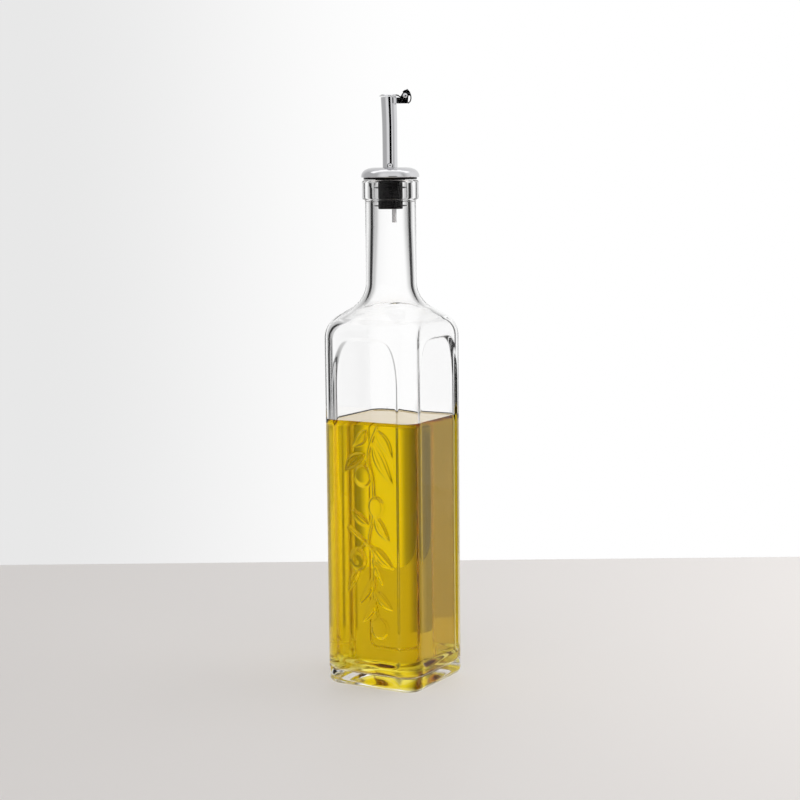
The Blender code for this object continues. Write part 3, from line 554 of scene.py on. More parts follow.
def press_panels(points, rows):
    """Push the outside in by the panel's depth and out by the sprig's height, square to each side."""
    turn = side_of * math.pi / 2.0
    normal = np.stack([np.cos(turn), np.sin(turn)], -1)
    along = np.stack([-np.sin(turn), np.cos(turn)], -1)
    across = (points[..., :2] * along).sum(-1)
    up = points[..., 2]
    pressed = (rows[:, 0:1] > PRESSED_FROM) & (side_of != PLAIN_SIDE)
    faint = ramp(up, FAINT_FROM, FAINT_TO) * (side_of == BACK_SIDE)
    slope_end = np.where(side_of == BACK_SIDE, BACK_EDGE_IN, EDGE_IN) + FAINT_WIDER * faint
    depth = panel_depth(across, up, EDGE_OUT, slope_end) * (1.0 - FAINT_SHARE * faint)
    depth = np.where(pressed, depth, 0.0)
    place = np.ix_((rows[:, 2] > SPRIG_LOW) & (rows[:, 2] < SPRIG_HIGH + 1.0 * MM), front)
    depth[place] -= sprig_height(across[place], up[place])
    points[..., :2] -= depth[..., None] * normal
    return points


# %% [markdown]
# The faces come last. Leaving rows out on three sides saves a hundred thousand triangles, and the
# faces that take up the difference lie on the corners, where the glass is the same at every height.

# %% Faces of the glass
def closed_shell(outside, inside, angles, dense_rows, dense_columns):
    """Faces of the whole grid, with a fan to a pole at each end.

    Columns that aren't dense skip the dense rows. Where a plain column meets a dense one, a single
    face runs down the plain edge and up through every point of the dense edge.
    """
    rows, columns = len(outside) + len(inside), len(angles)
    number = np.arange(rows * columns).reshape(rows, columns)
    after = np.roll(number, -1, axis=1)
    kept = np.flatnonzero(~dense_rows)
    beside = dense_columns | np.roll(dense_columns, -1)
    fine = np.flatnonzero(dense_columns & np.roll(dense_columns, -1))
    quads = np.stack([number[:-1], after[:-1], after[1:], number[1:]], -1)[:, fine].reshape(-1, 4).tolist()
    low, high = kept[:-1], kept[1:]
    plain = np.flatnonzero(~(dense_columns & np.roll(dense_columns, -1)))
    jump = (high - low) > 1
    for column in plain:
        meets = beside[column]
        use = ~jump if meets else np.ones(len(low), bool)
        a, b = low[use], high[use]
        corners = [number[a, column], after[a, column], after[b, column], number[b, column]]
        quads += np.stack(corners, -1).tolist()
        if meets:
            for a, b in zip(low[jump], high[jump]):
                left, right = number[a:b + 1, column], after[a:b + 1, column]
                left = left if dense_columns[column] else left[[0, -1]]
                right = right if dense_columns[(column + 1) % columns] else right[[0, -1]]
                quads.append([left[0], *right, *left[:0:-1]])
    start, end = rows * columns, rows * columns + 1
    first = np.stack([after[0], number[0], np.full(columns, start)], -1).tolist()
    last = np.stack([number[-1], after[-1], np.full(columns, end)], -1).tolist()
    return quads + first + last


outer_points = press_panels(ring_points(outside, angles), outside)
inner_points = ring_points(inside, angles)
poles = np.array([[0.0, 0.0, PUNT_RISE], [0.0, 0.0, FLOOR + FLOOR_RISE]])
points = np.vstack([outer_points.reshape(-1, 3), inner_points.reshape(-1, 3), poles])
row_up = outside[:, 2]
at_sprig = (row_up > sprig_rows[0] + 0.1 * MM) & (row_up < sprig_rows[-1] - 0.1 * MM)
dense_rows = np.concatenate([at_sprig, np.zeros(len(inside), bool)])
faces = closed_shell(outside, inside, angles, dense_rows, front)
used = np.unique(np.concatenate([np.asarray(face) for face in faces]))
renumber = np.zeros(len(points), int)
renumber[used] = np.arange(len(used))
glass = new_piece("bottle_glass", points[used], [renumber[face].tolist() for face in faces],
                  glass_finish, "bottle", ["glass_bottle"])

# %% [markdown]
# ## The oil
# Oil wets glass, so its edge climbs the wall a little. Between a liquid and the glass there is no
# air, and a gap would show as a silver skin. So the oil reaches a third of a millimetre into the
# wall: the two surfaces then bend light in turn as one glass-to-oil surface would.
#
# Light that reaches the table through clear glass and oil is bent, not stopped. A renderer traces
# those paths badly, and would draw a black shadow. So neither piece casts a shadow, and light that
# is scattered by another surface passes the glass.

# %% Oil surface
REACH_IN = 0.35 * MM
CLIMB, CLIMB_WIDTH = 0.7 * MM, 0.75 * MM
OIL_SPACING, TOP_CORNER, CLEAR_RINGS = 1.6, 1.8 * MM, 4

oil_angles = np.concatenate([side_columns(OIL_SPACING) + math.pi / 2.0 * turn for turn in range(4)])
grown = INNER_HALF + REACH_IN
grown_corner = INNER_CORNER + REACH_IN
oil_round = FLOOR_ROUND + REACH_IN
bed = dome(REACH_IN)[::-1]
bed += [level(grown - oil_round + x, grown_corner - oil_round + x, z)
        for x, z in arc(0.0, FLOOR - REACH_IN + oil_round, oil_round, -90.0, 0.0, 9)]
wall = [level(grown, grown_corner, z * MM) for z in (40.0, 80.0, 120.0, 140.0)]
edge = [level(grown, grown_corner, OIL_LEVEL + CLIMB)]
away = np.array([0.0, 0.15, 0.35, 0.6, 0.9, 1.3, 1.8, 2.5, 3.5, 5.0, 7.0]) * MM
top = [level(INNER_HALF - d, max(INNER_CORNER - d, TOP_CORNER),
             OIL_LEVEL + CLIMB * math.exp(-d / CLIMB_WIDTH)) for d in away]
top += [level(12.0 * MM, 2.0 * MM, OIL_LEVEL), level(6.0 * MM, 2.0 * MM, OIL_LEVEL)]
oil_rows = np.vstack([*bed, *wall, *edge, *top])
oil_points = ring_points(oil_rows, oil_angles).reshape(-1, 3)
count = len(oil_angles)
total = len(oil_rows) * count
oil_points = np.vstack([oil_points, [[0.0, 0.0, FLOOR + FLOOR_RISE - REACH_IN], [0.0, 0.0, OIL_LEVEL]]])
here, turn_on, rim = np.arange(count), np.roll(np.arange(count), -1), total - count
oil_faces = grid_quads(len(oil_rows), count).tolist()
oil_faces += np.stack([turn_on, here, np.full(count, total)], -1).tolist()
oil_faces += np.stack([rim + here, rim + turn_on, np.full(count, total + 1)], -1).tolist()
oil = new_piece("oil_fill", oil_points, oil_faces, oil_finish, "bottle", ["oil"])

# The painted light covers the top from a few rings inside the edge. The fan in its middle comes last.
oil.data.materials.append(painted_light_finish)
painted_light_faces = np.zeros(len(oil_faces), dtype=np.int32)
painted_light_faces[(len(bed) + len(wall) + len(edge) + CLEAR_RINGS) * count:-2 * count] = 1
painted_light_faces[-count:] = 1
oil.data.polygons.foreach_set("material_index", painted_light_faces)
for clear in (glass, oil):
    clear.visible_shadow = False
glass.visible_diffuse = False
print("faces of oil skin:", int(painted_light_faces.sum()))

# %% [markdown]
# ## Turned and spun parts
# The stopper is moulded and the cap is spun, both round about the bottle's middle. A profile of
# (radius, height) pairs goes round the axis as a closed ring. Real edges are never sharp, and a soft
# edge is what catches the light, so every corner of a profile is rounded first.

# %% Turning helpers
# The steel pourer isn't in line with the bottle's sides.
POURER_TURN = math.radians(30.0)


def soften(outline, radius, steps=3):
    """Round each corner of a closed outline.

    The curve leaves one side a radius before the corner, ends as far along the next side, and bends
    towards the corner between them: (1-t) squared, 2t(1-t) and t squared are the three shares.
    """
    corner = np.asarray(outline, float)
    ends = []
    for shift in (1, -1):
        side = np.roll(corner, shift, axis=0) - corner
        length = np.linalg.norm(side, axis=1, keepdims=True)
        ends.append(corner + side * np.minimum(radius / length, 0.48))
    t = np.linspace(0.0, 1.0, steps + 1)[None, :, None]
    curve = ((1 - t) ** 2 * ends[0][:, None] + 2 * t * (1 - t) * corner[:, None]
             + t ** 2 * ends[1][:, None])
    return curve.reshape(-1, 2)


def on_pourer(points):
    """Turn points from the pourer's own directions to the bottle's: a rotation about Z."""
    c, s = math.cos(POURER_TURN), math.sin(POURER_TURN)
    return np.asarray(points).reshape(-1, 3) @ np.array([[c, s, 0.0], [-s, c, 0.0], [0.0, 0.0, 1.0]])


def turned(outline, columns):
    """Points and faces of a ring: an outline of (radius, height) in mm, turned about Z.

    The outline goes out along the bottom and up the outside, so that its faces look outwards.
    """
    profile = np.asarray(outline, float) * MM
    angle = np.linspace(0.0, 2.0 * math.pi, columns, endpoint=False)
    points = np.stack([profile[:, :1] * np.cos(angle), profile[:, :1] * np.sin(angle),
                       np.broadcast_to(profile[:, 1:], (len(profile), columns))], -1)
    number = np.arange(len(profile) * columns).reshape(len(profile), columns)
    after, above = np.roll(number, -1, axis=1), np.roll(number, -1, axis=0)
    quads = np.stack([number, after, np.roll(after, -1, axis=0), above], -1)
    return points.reshape(-1, 3), quads.reshape(-1, 4)


print("the pourer is turned by", round(math.degrees(POURER_TURN), 1), "degrees")


# %% [markdown]
# ### The stopper
# A head fills the cap, a flange rests on the glass, a cone centres it, and two thin fins on the plug
# seal against the bore. The collar between the fins makes the plug stiffer.

# %% Stopper
plug, fin_reach, bore_top, bore_low = 6.5, 8.7, 4.13, 3.43
stopper_outline = [(bore_low, 254.1), (plug - 0.4, 254.1), (plug, 254.5),
                   (plug, 255.45), (fin_reach, 255.7), (fin_reach, 256.1), (plug, 256.35),
                   (plug, 257.9), (plug + 0.3, 258.2), (plug + 0.3, 260.5), (plug, 260.8),
                   (plug, 264.65), (fin_reach, 264.9), (fin_reach, 265.3), (plug, 265.55),
                   (plug, 267.3), (8.1, 269.4), (14.15, 269.4), (14.15, 271.7), (13.6, 272.6), (12.7, 273.4),
                   (11.3, 274.1), (9.2, 274.5), (bore_top, 274.0), (bore_top, 262.0), (bore_low, 262.0)]
points, quads = turned(soften(stopper_outline, 0.18), 112)
new_piece("rubber_stopper", on_pourer(points), quads.tolist(), rubber_finish, "bottle",
          ["stopper"])

# %% [markdown]
# ### The cap
# A disc of steel pressed over a round tool: a dome with a rolled rim and a small well in which the
# spout stands. The sheet is 0.6 mm thick.

# %% Cap
cap_outline = [(14.8, 270.5), (15.4, 270.5), (15.4, 271.4), (15.1, 272.6), (14.4, 273.7), (13.2, 274.65),
               (11.6, 275.3), (9.8, 275.65), (8.0, 275.75), (6.2, 275.55), (5.3, 275.0), (4.13, 275.0),
               (4.13, 274.3), (5.6, 274.4), (7.9, 275.05), (9.6, 274.95), (11.4, 274.6), (12.8, 273.95),
               (13.8, 273.2), (14.45, 272.4), (14.8, 271.5)]
points, quads = turned(soften(cap_outline, 0.5, 4), 128)
new_piece("pressed_cap", on_pourer(points), quads.tolist(), steel_finish, "bottle",
          ["steel_cap"])

# %% [markdown]
# ### The spout and the air tube
# The spout is drawn tube, 0.5 mm thick, that leans back a little and widens towards its end. A tube
# is a ring carried along a path. The air tube starts below the stopper, runs up inside the spout and
# comes out through a hole at its foot, so that air can get in while oil runs out.

# %% Tubes
SPOUT_LEAN, SPOUT_TOP, SPOUT_FOOT = 0.45, 312.4, 262.3
SPOUT_OUTER, SPOUT_INNER, SPOUT_FLARE = 3.93, 3.43, 0.045
LEAN_FROM, FLARE_FROM, OUTLET_UP = 297.0, 290.0, 276.5
AIR_OUTER, AIR_INNER, AIR_END = 1.19, 0.75, 0.3


def tube(path, outer, inner, columns, rim=0.12):
    """Points and faces of a tube along a path in mm, with rounded rims.

    At each point of the path the ring lies in the plane of two directions square to it: one is
    level, the other is the cross product of the path's direction and that one.
    """
    path = np.asarray(path, float)
    outer, inner = np.broadcast_to(outer, len(path)), np.broadcast_to(inner, len(path))
    ahead = np.gradient(path, axis=0)
    ahead /= np.linalg.norm(ahead, axis=1, keepdims=True)
    side = np.tile([1.0, 0.0, 0.0], (len(path), 1))
    side -= (side * ahead).sum(1, keepdims=True) * ahead
    side /= np.linalg.norm(side, axis=1, keepdims=True)
    over = np.cross(ahead, side)
    order = np.concatenate([[0], np.arange(len(path)), [-1, -1], np.arange(len(path))[::-1], [0]])
    reach = np.concatenate([[outer[0] - rim], outer, [outer[-1] - rim, inner[-1] + rim], inner[::-1],
                            [inner[0] + rim]])
    shift = np.zeros(len(order))
    shift[1], shift[len(path)] = rim, -rim
    shift[len(path) + 3], shift[-2] = -rim, rim
    angle = np.linspace(0.0, 2.0 * math.pi, columns, endpoint=False)
    ring = side[order][:, None] * np.cos(angle)[:, None] + over[order][:, None] * np.sin(angle)[:, None]
    points = path[order][:, None] + ahead[order][:, None] * shift[:, None, None] + ring * reach[:, None, None]
    number = np.arange(len(order) * columns).reshape(len(order), columns)
    after = np.roll(number, -1, axis=1)
    quads = np.stack([number, after, np.roll(after, -1, axis=0), np.roll(number, -1, axis=0)], -1)
    return points.reshape(-1, 3) * MM, quads.reshape(-1, 4)


def rod(start, end, radius, columns=24):
    """Points and faces of a plain round rod between two points in mm, for cutting holes."""
    points, quads = tube([start, end], radius, radius * 0.5, columns, 0.0)
    ring = np.arange(columns)
    keep = np.concatenate([ring + columns, ring + 2 * columns])
    points = points[keep]
    sides = np.stack([ring, np.roll(ring, -1), np.roll(ring, -1) + columns, ring + columns], -1).tolist()
    return points, sides + [ring[::-1].tolist(), (ring + columns).tolist()]


# %% [markdown]
# Holes and joints are exact Booleans between plain closed solids. The result goes back to points and
# faces, so that it becomes a piece in the same way as the others.

# %% Cutting and joining
def cut_and_join(name, body, added=(), removed=()):
    """One mesh from a solid with others added to it and then others taken away, as exact Booleans."""
    work = bpy.data.collections.new("work")
    bpy.context.scene.collection.children.link(work)

    def solid(points, faces):
        mesh = bpy.data.meshes.new(name)
        mesh.from_pydata(np.asarray(points).tolist(), [], [list(f) for f in faces])
        return bpy.data.objects.new(name, mesh)

    target = solid(*body)
    bpy.context.scene.collection.objects.link(target)
    for operation, solids in (("UNION", added), ("DIFFERENCE", removed)):
        if not solids:
            continue
        for other in solids:
            work.objects.link(solid(*other))
        step = target.modifiers.new(operation.lower(), "BOOLEAN")
        step.operation, step.solver = operation, "EXACT"
        step.operand_type, step.collection = "COLLECTION", work
        bpy.context.view_layer.update()
        done = target.evaluated_get(bpy.context.evaluated_depsgraph_get())
        result = bpy.data.meshes.new_from_object(done)
        target.modifiers.clear()
        target.data = result
        for other in list(work.objects):
            bpy.data.objects.remove(other)
    mesh = target.data
    points = np.zeros(len(mesh.vertices) * 3)
    mesh.vertices.foreach_get("co", points)
    faces = [list(face.vertices) for face in mesh.polygons]
    bpy.data.objects.remove(target)
    bpy.data.collections.remove(work)
    return points.reshape(-1, 3), faces


def crisp(piece, width, angle=38.0):
    """Keep flat faces flat: bevel the sharp edges by a small width, and split normals at an angle."""
    if width:
        step = piece.modifiers.new("edges", "BEVEL")
        step.width, step.segments = width, 2
        step.limit_method, step.angle_limit = "ANGLE", math.radians(angle)
    piece.data.set_sharp_from_angle(angle=math.radians(angle))
    return piece


# %% The spout with its outlet hole
up = np.linspace(SPOUT_FOOT, SPOUT_TOP, 40)
lean = np.clip((up - LEAN_FROM) / (SPOUT_TOP - LEAN_FROM), 0.0, 1.0) ** 1.5 * -SPOUT_LEAN
flare = 1.0 + SPOUT_FLARE * np.clip((up - FLARE_FROM) / (SPOUT_TOP - FLARE_FROM), 0.0, 1.0)
spout_path = np.column_stack([lean, np.zeros(40), up])
outlet_cut = rod((0.0, -1.5, OUTLET_UP), (0.0, -6.0, OUTLET_UP), 1.54, 32)
spout_tube = tube(spout_path, SPOUT_OUTER * flare, SPOUT_INNER * flare, 96)
points, faces = cut_and_join("spout", spout_tube, removed=[outlet_cut])
spout = new_piece("spout_tube", on_pourer(points), faces, steel_finish, "bottle",
                  ["spout"])
crisp(spout, 0.0)

# %% The air tube
air_path = np.array(((1.9, 0.0, 247.0), (1.9, 0.0, 255.0), (1.9, 0.0, 262.0), (1.9, 0.0, 268.0),
                     (1.75, -0.2, 270.6), (1.15, -0.8, 273.0), (0.45, -1.5, 275.2), (0.0, -2.6, 276.2),
                     (0.0, -3.6, 276.35), (0.0, -4.2, OUTLET_UP), (0.0, -4.7, 276.75)))
air_bore = np.where(np.arange(len(air_path)) < len(air_path) - 1, AIR_INNER, AIR_END)
points, quads = tube(air_path, AIR_OUTER, air_bore, 40)
new_piece("air_tube", on_pourer(points), quads.tolist(), steel_finish, "bottle",
          ["breather_tube"])

# %% [markdown]
# ### The hinge and the flap
# The flap lies over the spout by its own weight and swings open when the bottle is tipped. A bracket
# of bent sheet wraps the back of the spout and holds a rivet between two ears. The flap's lid, arm,
# knuckle and curled tail are one pressing. Each is a flat outline given a width, joined as solids
# are, with its edges bevelled last.

# %% Hinge and flap
PIVOT_X, PIVOT_UP, KNUCKLE = 8.25, 312.95, 1.85
EAR_INNER, EAR_SHEET, EAR_BACK, PIN_HOLE, RIVET_HALF = 1.7, 0.5, 3.72, 0.95, 2.75
SADDLE_LOW, SADDLE_HIGH, SADDLE_TURN, SADDLE_GAP = 309.0, 312.0, 56.0, 0.12
FLAP_HALF, WEB_HALF, STRAP, LID_COLUMNS = 1.5, 0.93, 0.6, 72


def slab(outline, low, high, axis="y"):
    """Points and faces of a flat outline in mm given a width, from low to high.

    With axis y the outline is (across, up) and the width runs along y. With axis z the outline is
    (x, y) and the width runs up. The sign of the outline's area tells which way the faces turn.
    """
    outline = np.asarray(outline, float)
    count = len(outline)
    ends = []
    for value in (low, high):
        ends.append(np.insert(outline, 1 if axis == "y" else 2, value, axis=1))
    x, y = outline.T
    area = 0.5 * np.sum(x * np.roll(y, -1) - np.roll(x, -1) * y)
    number, after = np.arange(count), np.roll(np.arange(count), -1)
    sides = np.stack([number, after, after + count, number + count], -1)
    faces = [face.tolist() for face in sides] + [number[::-1].tolist(), (number + count).tolist()]
    if (area > 0.0) == (axis == "y"):
        faces = [face[::-1] for face in faces]
    return np.vstack(ends) * MM, faces


def strip(path, thickness):
    """Outline of a bent strip: a path of (across, up), half the thickness to each side of it."""
    path = np.asarray(path, float)
    ahead = np.gradient(path, axis=0)
    ahead /= np.linalg.norm(ahead, axis=1, keepdims=True)
    side = np.column_stack([-ahead[:, 1], ahead[:, 0]]) * thickness / 2.0
    return np.vstack([path + side, (path - side)[::-1]])


# %% The bracket
saddle_in = SPOUT_OUTER * (1.0 + SPOUT_FLARE) + SADDLE_GAP
saddle_x = -SPOUT_LEAN * 0.9
saddle = np.vstack([arc(saddle_x, 0.0, saddle_in + STRAP, -SADDLE_TURN, SADDLE_TURN, 40),
                    arc(saddle_x, 0.0, saddle_in, SADDLE_TURN, -SADDLE_TURN, 40)])
lobe = arc(PIVOT_X, PIVOT_UP, KNUCKLE, -25.0, 155.0, 28)
ear = np.vstack([[(EAR_BACK, SADDLE_LOW), (9.25, SADDLE_LOW)],
                 arc(9.25, SADDLE_LOW + 0.5, 0.5, -80.0, 0.0, 5), lobe,
                 [(5.6, SADDLE_HIGH), (EAR_BACK, SADDLE_HIGH)]])
pin_cut = rod((PIVOT_X, -4.0, PIVOT_UP), (PIVOT_X, 4.0, PIVOT_UP), PIN_HOLE, 32)
ears = [slab(ear, *sorted((side * EAR_INNER, side * (EAR_INNER + EAR_SHEET)))) for side in (-1.0, 1.0)]
points, faces = cut_and_join("bracket", slab(saddle, SADDLE_LOW, SADDLE_HIGH, "z"), ears, [pin_cut])
bracket = new_piece("flap_bracket", on_pourer(points), faces, steel_finish, "bottle",
                    ["hinge_bracket"])
crisp(bracket, 0.08 * MM)

# %% [markdown]
# The rivet is turned like the stopper, but its axis lies across the spout. Half of its profile is
# given as (radius, distance from the middle) in mm, and the other half mirrors it.

# %% The rivet
rivet_half = [(0.0, RIVET_HALF), (0.55, 2.74), (0.95, 2.66), (1.18, 2.5), (1.26, 2.34), (1.2, 2.3),
              (0.75, 2.3), (0.75, 0.0)]
rivet_outline = np.array([(r, -h) for r, h in rivet_half] + rivet_half[::-1][1:])
profile, columns = rivet_outline[1:-1], 32
angle = np.linspace(0.0, 2.0 * math.pi, columns, endpoint=False)
points = np.stack([PIVOT_X + profile[:, :1] * np.cos(angle),
                   np.broadcast_to(-profile[:, 1:], (len(profile), columns)),
                   PIVOT_UP + profile[:, :1] * np.sin(angle)], -1).reshape(-1, 3)
quads = grid_quads(len(profile), columns).tolist()
points = np.vstack([points, [[PIVOT_X, RIVET_HALF, PIVOT_UP], [PIVOT_X, -RIVET_HALF, PIVOT_UP]]]) * MM
ring, last = np.arange(columns), (len(profile) - 1) * columns
quads += [[int(b), int(a), len(points) - 2] for a, b in zip(ring, np.roll(ring, -1))]
quads += [[int(a) + last, int(b) + last, len(points) - 1] for a, b in zip(ring, np.roll(ring, -1))]
new_piece("hinge_rivet", on_pourer(points), quads, steel_finish, "bottle", ["hinge_pin"])

# %% [markdown]
# The lid is a round dish that sits on the spout. The knuckle turns on the rivet, the arm joins it to
# the lid, and the web stiffens the tail, by which a finger can lift the flap.

# %% The flap
lid_angle = np.linspace(0.0, 2.0 * math.pi, LID_COLUMNS, endpoint=False)
lid_rows = [(4.87, 312.72), (4.95, 312.8), (4.95, 312.97), (4.87, 313.05), (4.45, 313.18), (4.3, 313.25),
            (4.15, 313.45), (4.0, 313.64), (3.8, 313.7)]
lid_points = np.array([[(-SPOUT_LEAN + r * math.cos(a), r * math.sin(a), h) for a in lid_angle]
                       for r, h in lid_rows])
lid_faces = grid_quads(len(lid_rows), LID_COLUMNS).tolist()
lid_faces.append(list(range(LID_COLUMNS))[::-1])
lid_faces.append(list(range((len(lid_rows) - 1) * LID_COLUMNS, len(lid_rows) * LID_COLUMNS)))
knuckle = arc(PIVOT_X, PIVOT_UP, KNUCKLE, 0.0, 350.0, 35)
arm = strip([(2.4, 313.35), (3.6, 313.35), (4.6, 313.1), (5.4, 312.5), (6.8, 312.3)], STRAP)
tail = strip(smooth_path([(9.2, 316.3), (10.6, 314.6), (11.3, 312.3), (11.0, 310.2), (9.7, 308.9)], 8), STRAP)
web = [(7.4, 313.6), (9.2, 313.0), (11.1, 312.9), (10.6, 314.5), (9.3, 316.1), (8.0, 315.9), (7.0, 315.2)]
bits = [slab(outline, -FLAP_HALF, FLAP_HALF) for outline in (knuckle, arm, tail)]
bits.append(slab(web, -WEB_HALF, WEB_HALF))
points, faces = cut_and_join("flap", (lid_points.reshape(-1, 3) * MM, lid_faces), bits, [pin_cut])
flap = new_piece("gravity_flap", on_pourer(points), faces, steel_finish, "flap_body",
                 ["flap"])
crisp(flap, 0.07 * MM)

# %% [markdown]
# ## Camera
# The camera stands a metre away and 30 degrees round from the front, so that two sides show. A long
# lens keeps upright edges nearly parallel. It looks down by seven degrees, which shows the top of the
# oil, and it is rolled by a little over half a degree, as a camera held by hand is.

# %% Camera
AZIMUTH = math.radians(30.3)
LENS, SENSOR = 83.25, 36.0
CAMERA_ACROSS, CAMERA_AWAY, CAMERA_UP = 0.00393, -0.9834, 0.2764
LOOK_DOWN, ROLL = 7.21, -0.0104
right = np.array([math.cos(AZIMUTH), math.sin(AZIMUTH), 0.0])
forward = np.array([-math.sin(AZIMUTH), math.cos(AZIMUTH), 0.0])
upward = np.array([0.0, 0.0, 1.0])


def seen(across, away, up):
    """A point given across, away from the camera and up, measured from the middle of the base."""
    return across * right + away * forward + up * upward


camera_data = bpy.data.cameras.new("camera")
camera_data.lens = LENS
camera_data.sensor_width = SENSOR
camera_data.clip_start, camera_data.clip_end = 0.05, 50.0
camera = bpy.data.objects.new("camera", camera_data)
bpy.context.scene.collection.objects.link(camera)
camera.location = seen(CAMERA_ACROSS, CAMERA_AWAY, CAMERA_UP)
camera.rotation_mode = "XYZ"
pitch = math.radians(90.0 - LOOK_DOWN)
look = Matrix.Rotation(AZIMUTH, 4, "Z") @ Matrix.Rotation(pitch, 4, "X") @ Matrix.Rotation(ROLL, 4, "Z")
camera.rotation_euler = look.to_euler()
bpy.context.scene.camera = camera
print("camera at", [round(v, 3) for v in camera.location], "m")

# %% [markdown]
# ## Stage
# The table is a plain pale board that ends a little behind the bottle, where the backdrop starts. Two
# cards stand where only reflections see them. The black one is on the camera's side, and steel and
# rubber turn dark towards it. The white one hangs high up, and the top of the cap shines with it.

# %% Stage
TABLE_HALF, TABLE_END = 4.0, 0.2972
CARD_LEFT, CARD_RIGHT, CARD_DISTANCE, CARD_LOW, CARD_TOP = 153.0, 186.0, 2.0, -0.4, 0.55
HIGH_CARD_HALF, HIGH_CARD_NEAR, HIGH_CARD_FAR, HIGH_CARD_UP, HIGH_CARD_LIGHT = 1.5, -0.15, 0.52, 1.6, 1.7
RAYS = ("camera", "diffuse", "glossy", "transmission")


def rectangle(left, right, near, far):
    """Four corners, in order round it."""
    return (left, near), (right, near), (right, far), (left, far)


def stage_card(name, corners, material, seen_by=RAYS):
    """A flat card from its corners, which only the named kinds of ray can see."""
    mesh = bpy.data.meshes.new(name)
    mesh.from_pydata([tuple(c) for c in corners], [], [tuple(range(len(corners)))])
    mesh.materials.append(material)
    card = bpy.data.objects.new(name, mesh)
    bpy.context.scene.collection.objects.link(card)
    for kind in RAYS:
        setattr(card, "visible_" + kind, kind in seen_by)
    return card


def card_finish(name, code, strength):
    """A card that gives off its own even light, or none."""
    made, tree, out = new_finish(name)
    light = node(tree, "ShaderNodeEmission", {"Color": linear(code), "Strength": strength})
    tree.links.new(light.outputs["Emission"], out.inputs["Surface"])
    return made


def round_about(degrees, distance, up):
    """A point at a distance from the bottle, turned right from straight ahead of the camera."""
    turn = math.radians(degrees)
    return seen(distance * math.sin(turn), distance * math.cos(turn), up)


# %% Table and cards
table_finish, tree, out = new_finish("pale_table_top")
table_shader = node(tree, "ShaderNodeBsdfPrincipled",
                    {"Base Color": linear("#e4e0dd"), "Roughness": 0.6, "Specular IOR Level": 0.2})
tree.links.new(table_shader.outputs["BSDF"], out.inputs["Surface"])
corners = rectangle(-TABLE_HALF, TABLE_HALF, -TABLE_HALF, TABLE_END)
stage_card("table", [seen(across, away, 0.0) for across, away in corners], table_finish)

dark_card = card_finish("black_card", "#000000", 0.0)
corners = rectangle(CARD_LEFT, CARD_RIGHT, CARD_LOW, CARD_TOP)
stage_card("camera_side_card", [round_about(turn, CARD_DISTANCE, up) for turn, up in corners],
           dark_card, ["glossy"])

bright_card = card_finish("white_card", "#ffffff", HIGH_CARD_LIGHT)
corners = rectangle(-HIGH_CARD_HALF, HIGH_CARD_HALF, HIGH_CARD_NEAR, HIGH_CARD_FAR)
stage_card("cap_card", [seen(across, away, HIGH_CARD_UP) for across, away in corners],
           bright_card, ["glossy"])
print("the table ends", TABLE_END, "m behind the bottle")

# %% [markdown]
# ### Soft flags
# Deep oil gathers the view from far to both sides, as a lens does, and that view would show the hard
# line where the table ends. Flags are black gauze on stands that a studio sets beside glass to give
# it dark edges. Three of them stand close to the bottle, thin out towards their edges, and hide the
# line. Only rays that have passed through glass see them.

# %% Flags
FLAG_DISTANCE, FLAG_FOOT, FLAG_TOP = 0.11, 0.0005, 0.132


def soft_flag(name, start, end, fade, density):
    """A dark flag that stands round the bottle and fades at both sides and at its top.

    Its cover is the density in the middle and falls in a straight line to nothing at the edges.
    """
    turns, heights = (start, start + fade, end - fade, end), (FLAG_FOOT, 0.9 * FLAG_TOP, FLAG_TOP)
    places = [tuple(round_about(turn, FLAG_DISTANCE, height)) for height in heights for turn in turns]
    cover = [density * across * up for up in (1, 1, 0) for across in (0, 1, 1, 0)]
    mesh = bpy.data.meshes.new(name)
    mesh.from_pydata(places, [], grid_quads(len(heights), len(turns), closed=False).tolist())
    mesh.attributes.new("cover", "FLOAT", "POINT").data.foreach_set("value", cover)
    mesh.materials.append(flag_finish)
    flag = bpy.data.objects.new(name, mesh)
    bpy.context.scene.collection.objects.link(flag)
    flag.visible_camera = flag.visible_diffuse = False
    flag.visible_glossy = flag.visible_shadow = False
    return flag


flag_finish, tree, out = new_finish("black_flag")
cover = node(tree, "ShaderNodeAttribute", {"attribute_name": "cover"})
clear_air = node(tree, "ShaderNodeBsdfTransparent")
unlit = node(tree, "ShaderNodeEmission", {"Color": linear("#000000"), "Strength": 0.0})
veil = node(tree, "ShaderNodeMixShader",
            links={0: cover.outputs["Fac"], 1: clear_air.outputs["BSDF"], 2: unlit.outputs["Emission"]})
tree.links.new(veil.outputs["Shader"], out.inputs["Surface"])
flags = [
    # degrees at which it starts and ends, degrees of fading, density
    soft_flag("left_back_flag", -58.0, -12.0, 12.0, 0.5),
    soft_flag("right_back_flag", 11.0, 40.0, 7.0, 0.6),
    soft_flag("left_side_flag", -150.0, -80.0, 15.0, 0.3),
]
print("flags:", len(flags))

# %% [markdown]
# ## Studio ring
# Clear glass has no colour of its own: it shows what stands round it. A studio for glass is a ring of
# white and black screens, and the world here is such a ring, a ramp of greys by bearing. The neck, the
# empty body and the oil bend the view in different ways and look out at different heights, so each
# has its ramp, and reflections have one more. The black stretches give the glass its dark edges.
#
# Overhead the rings end in an even ceiling. The backdrop that is seen directly is light grey on the
# left and white on the right.

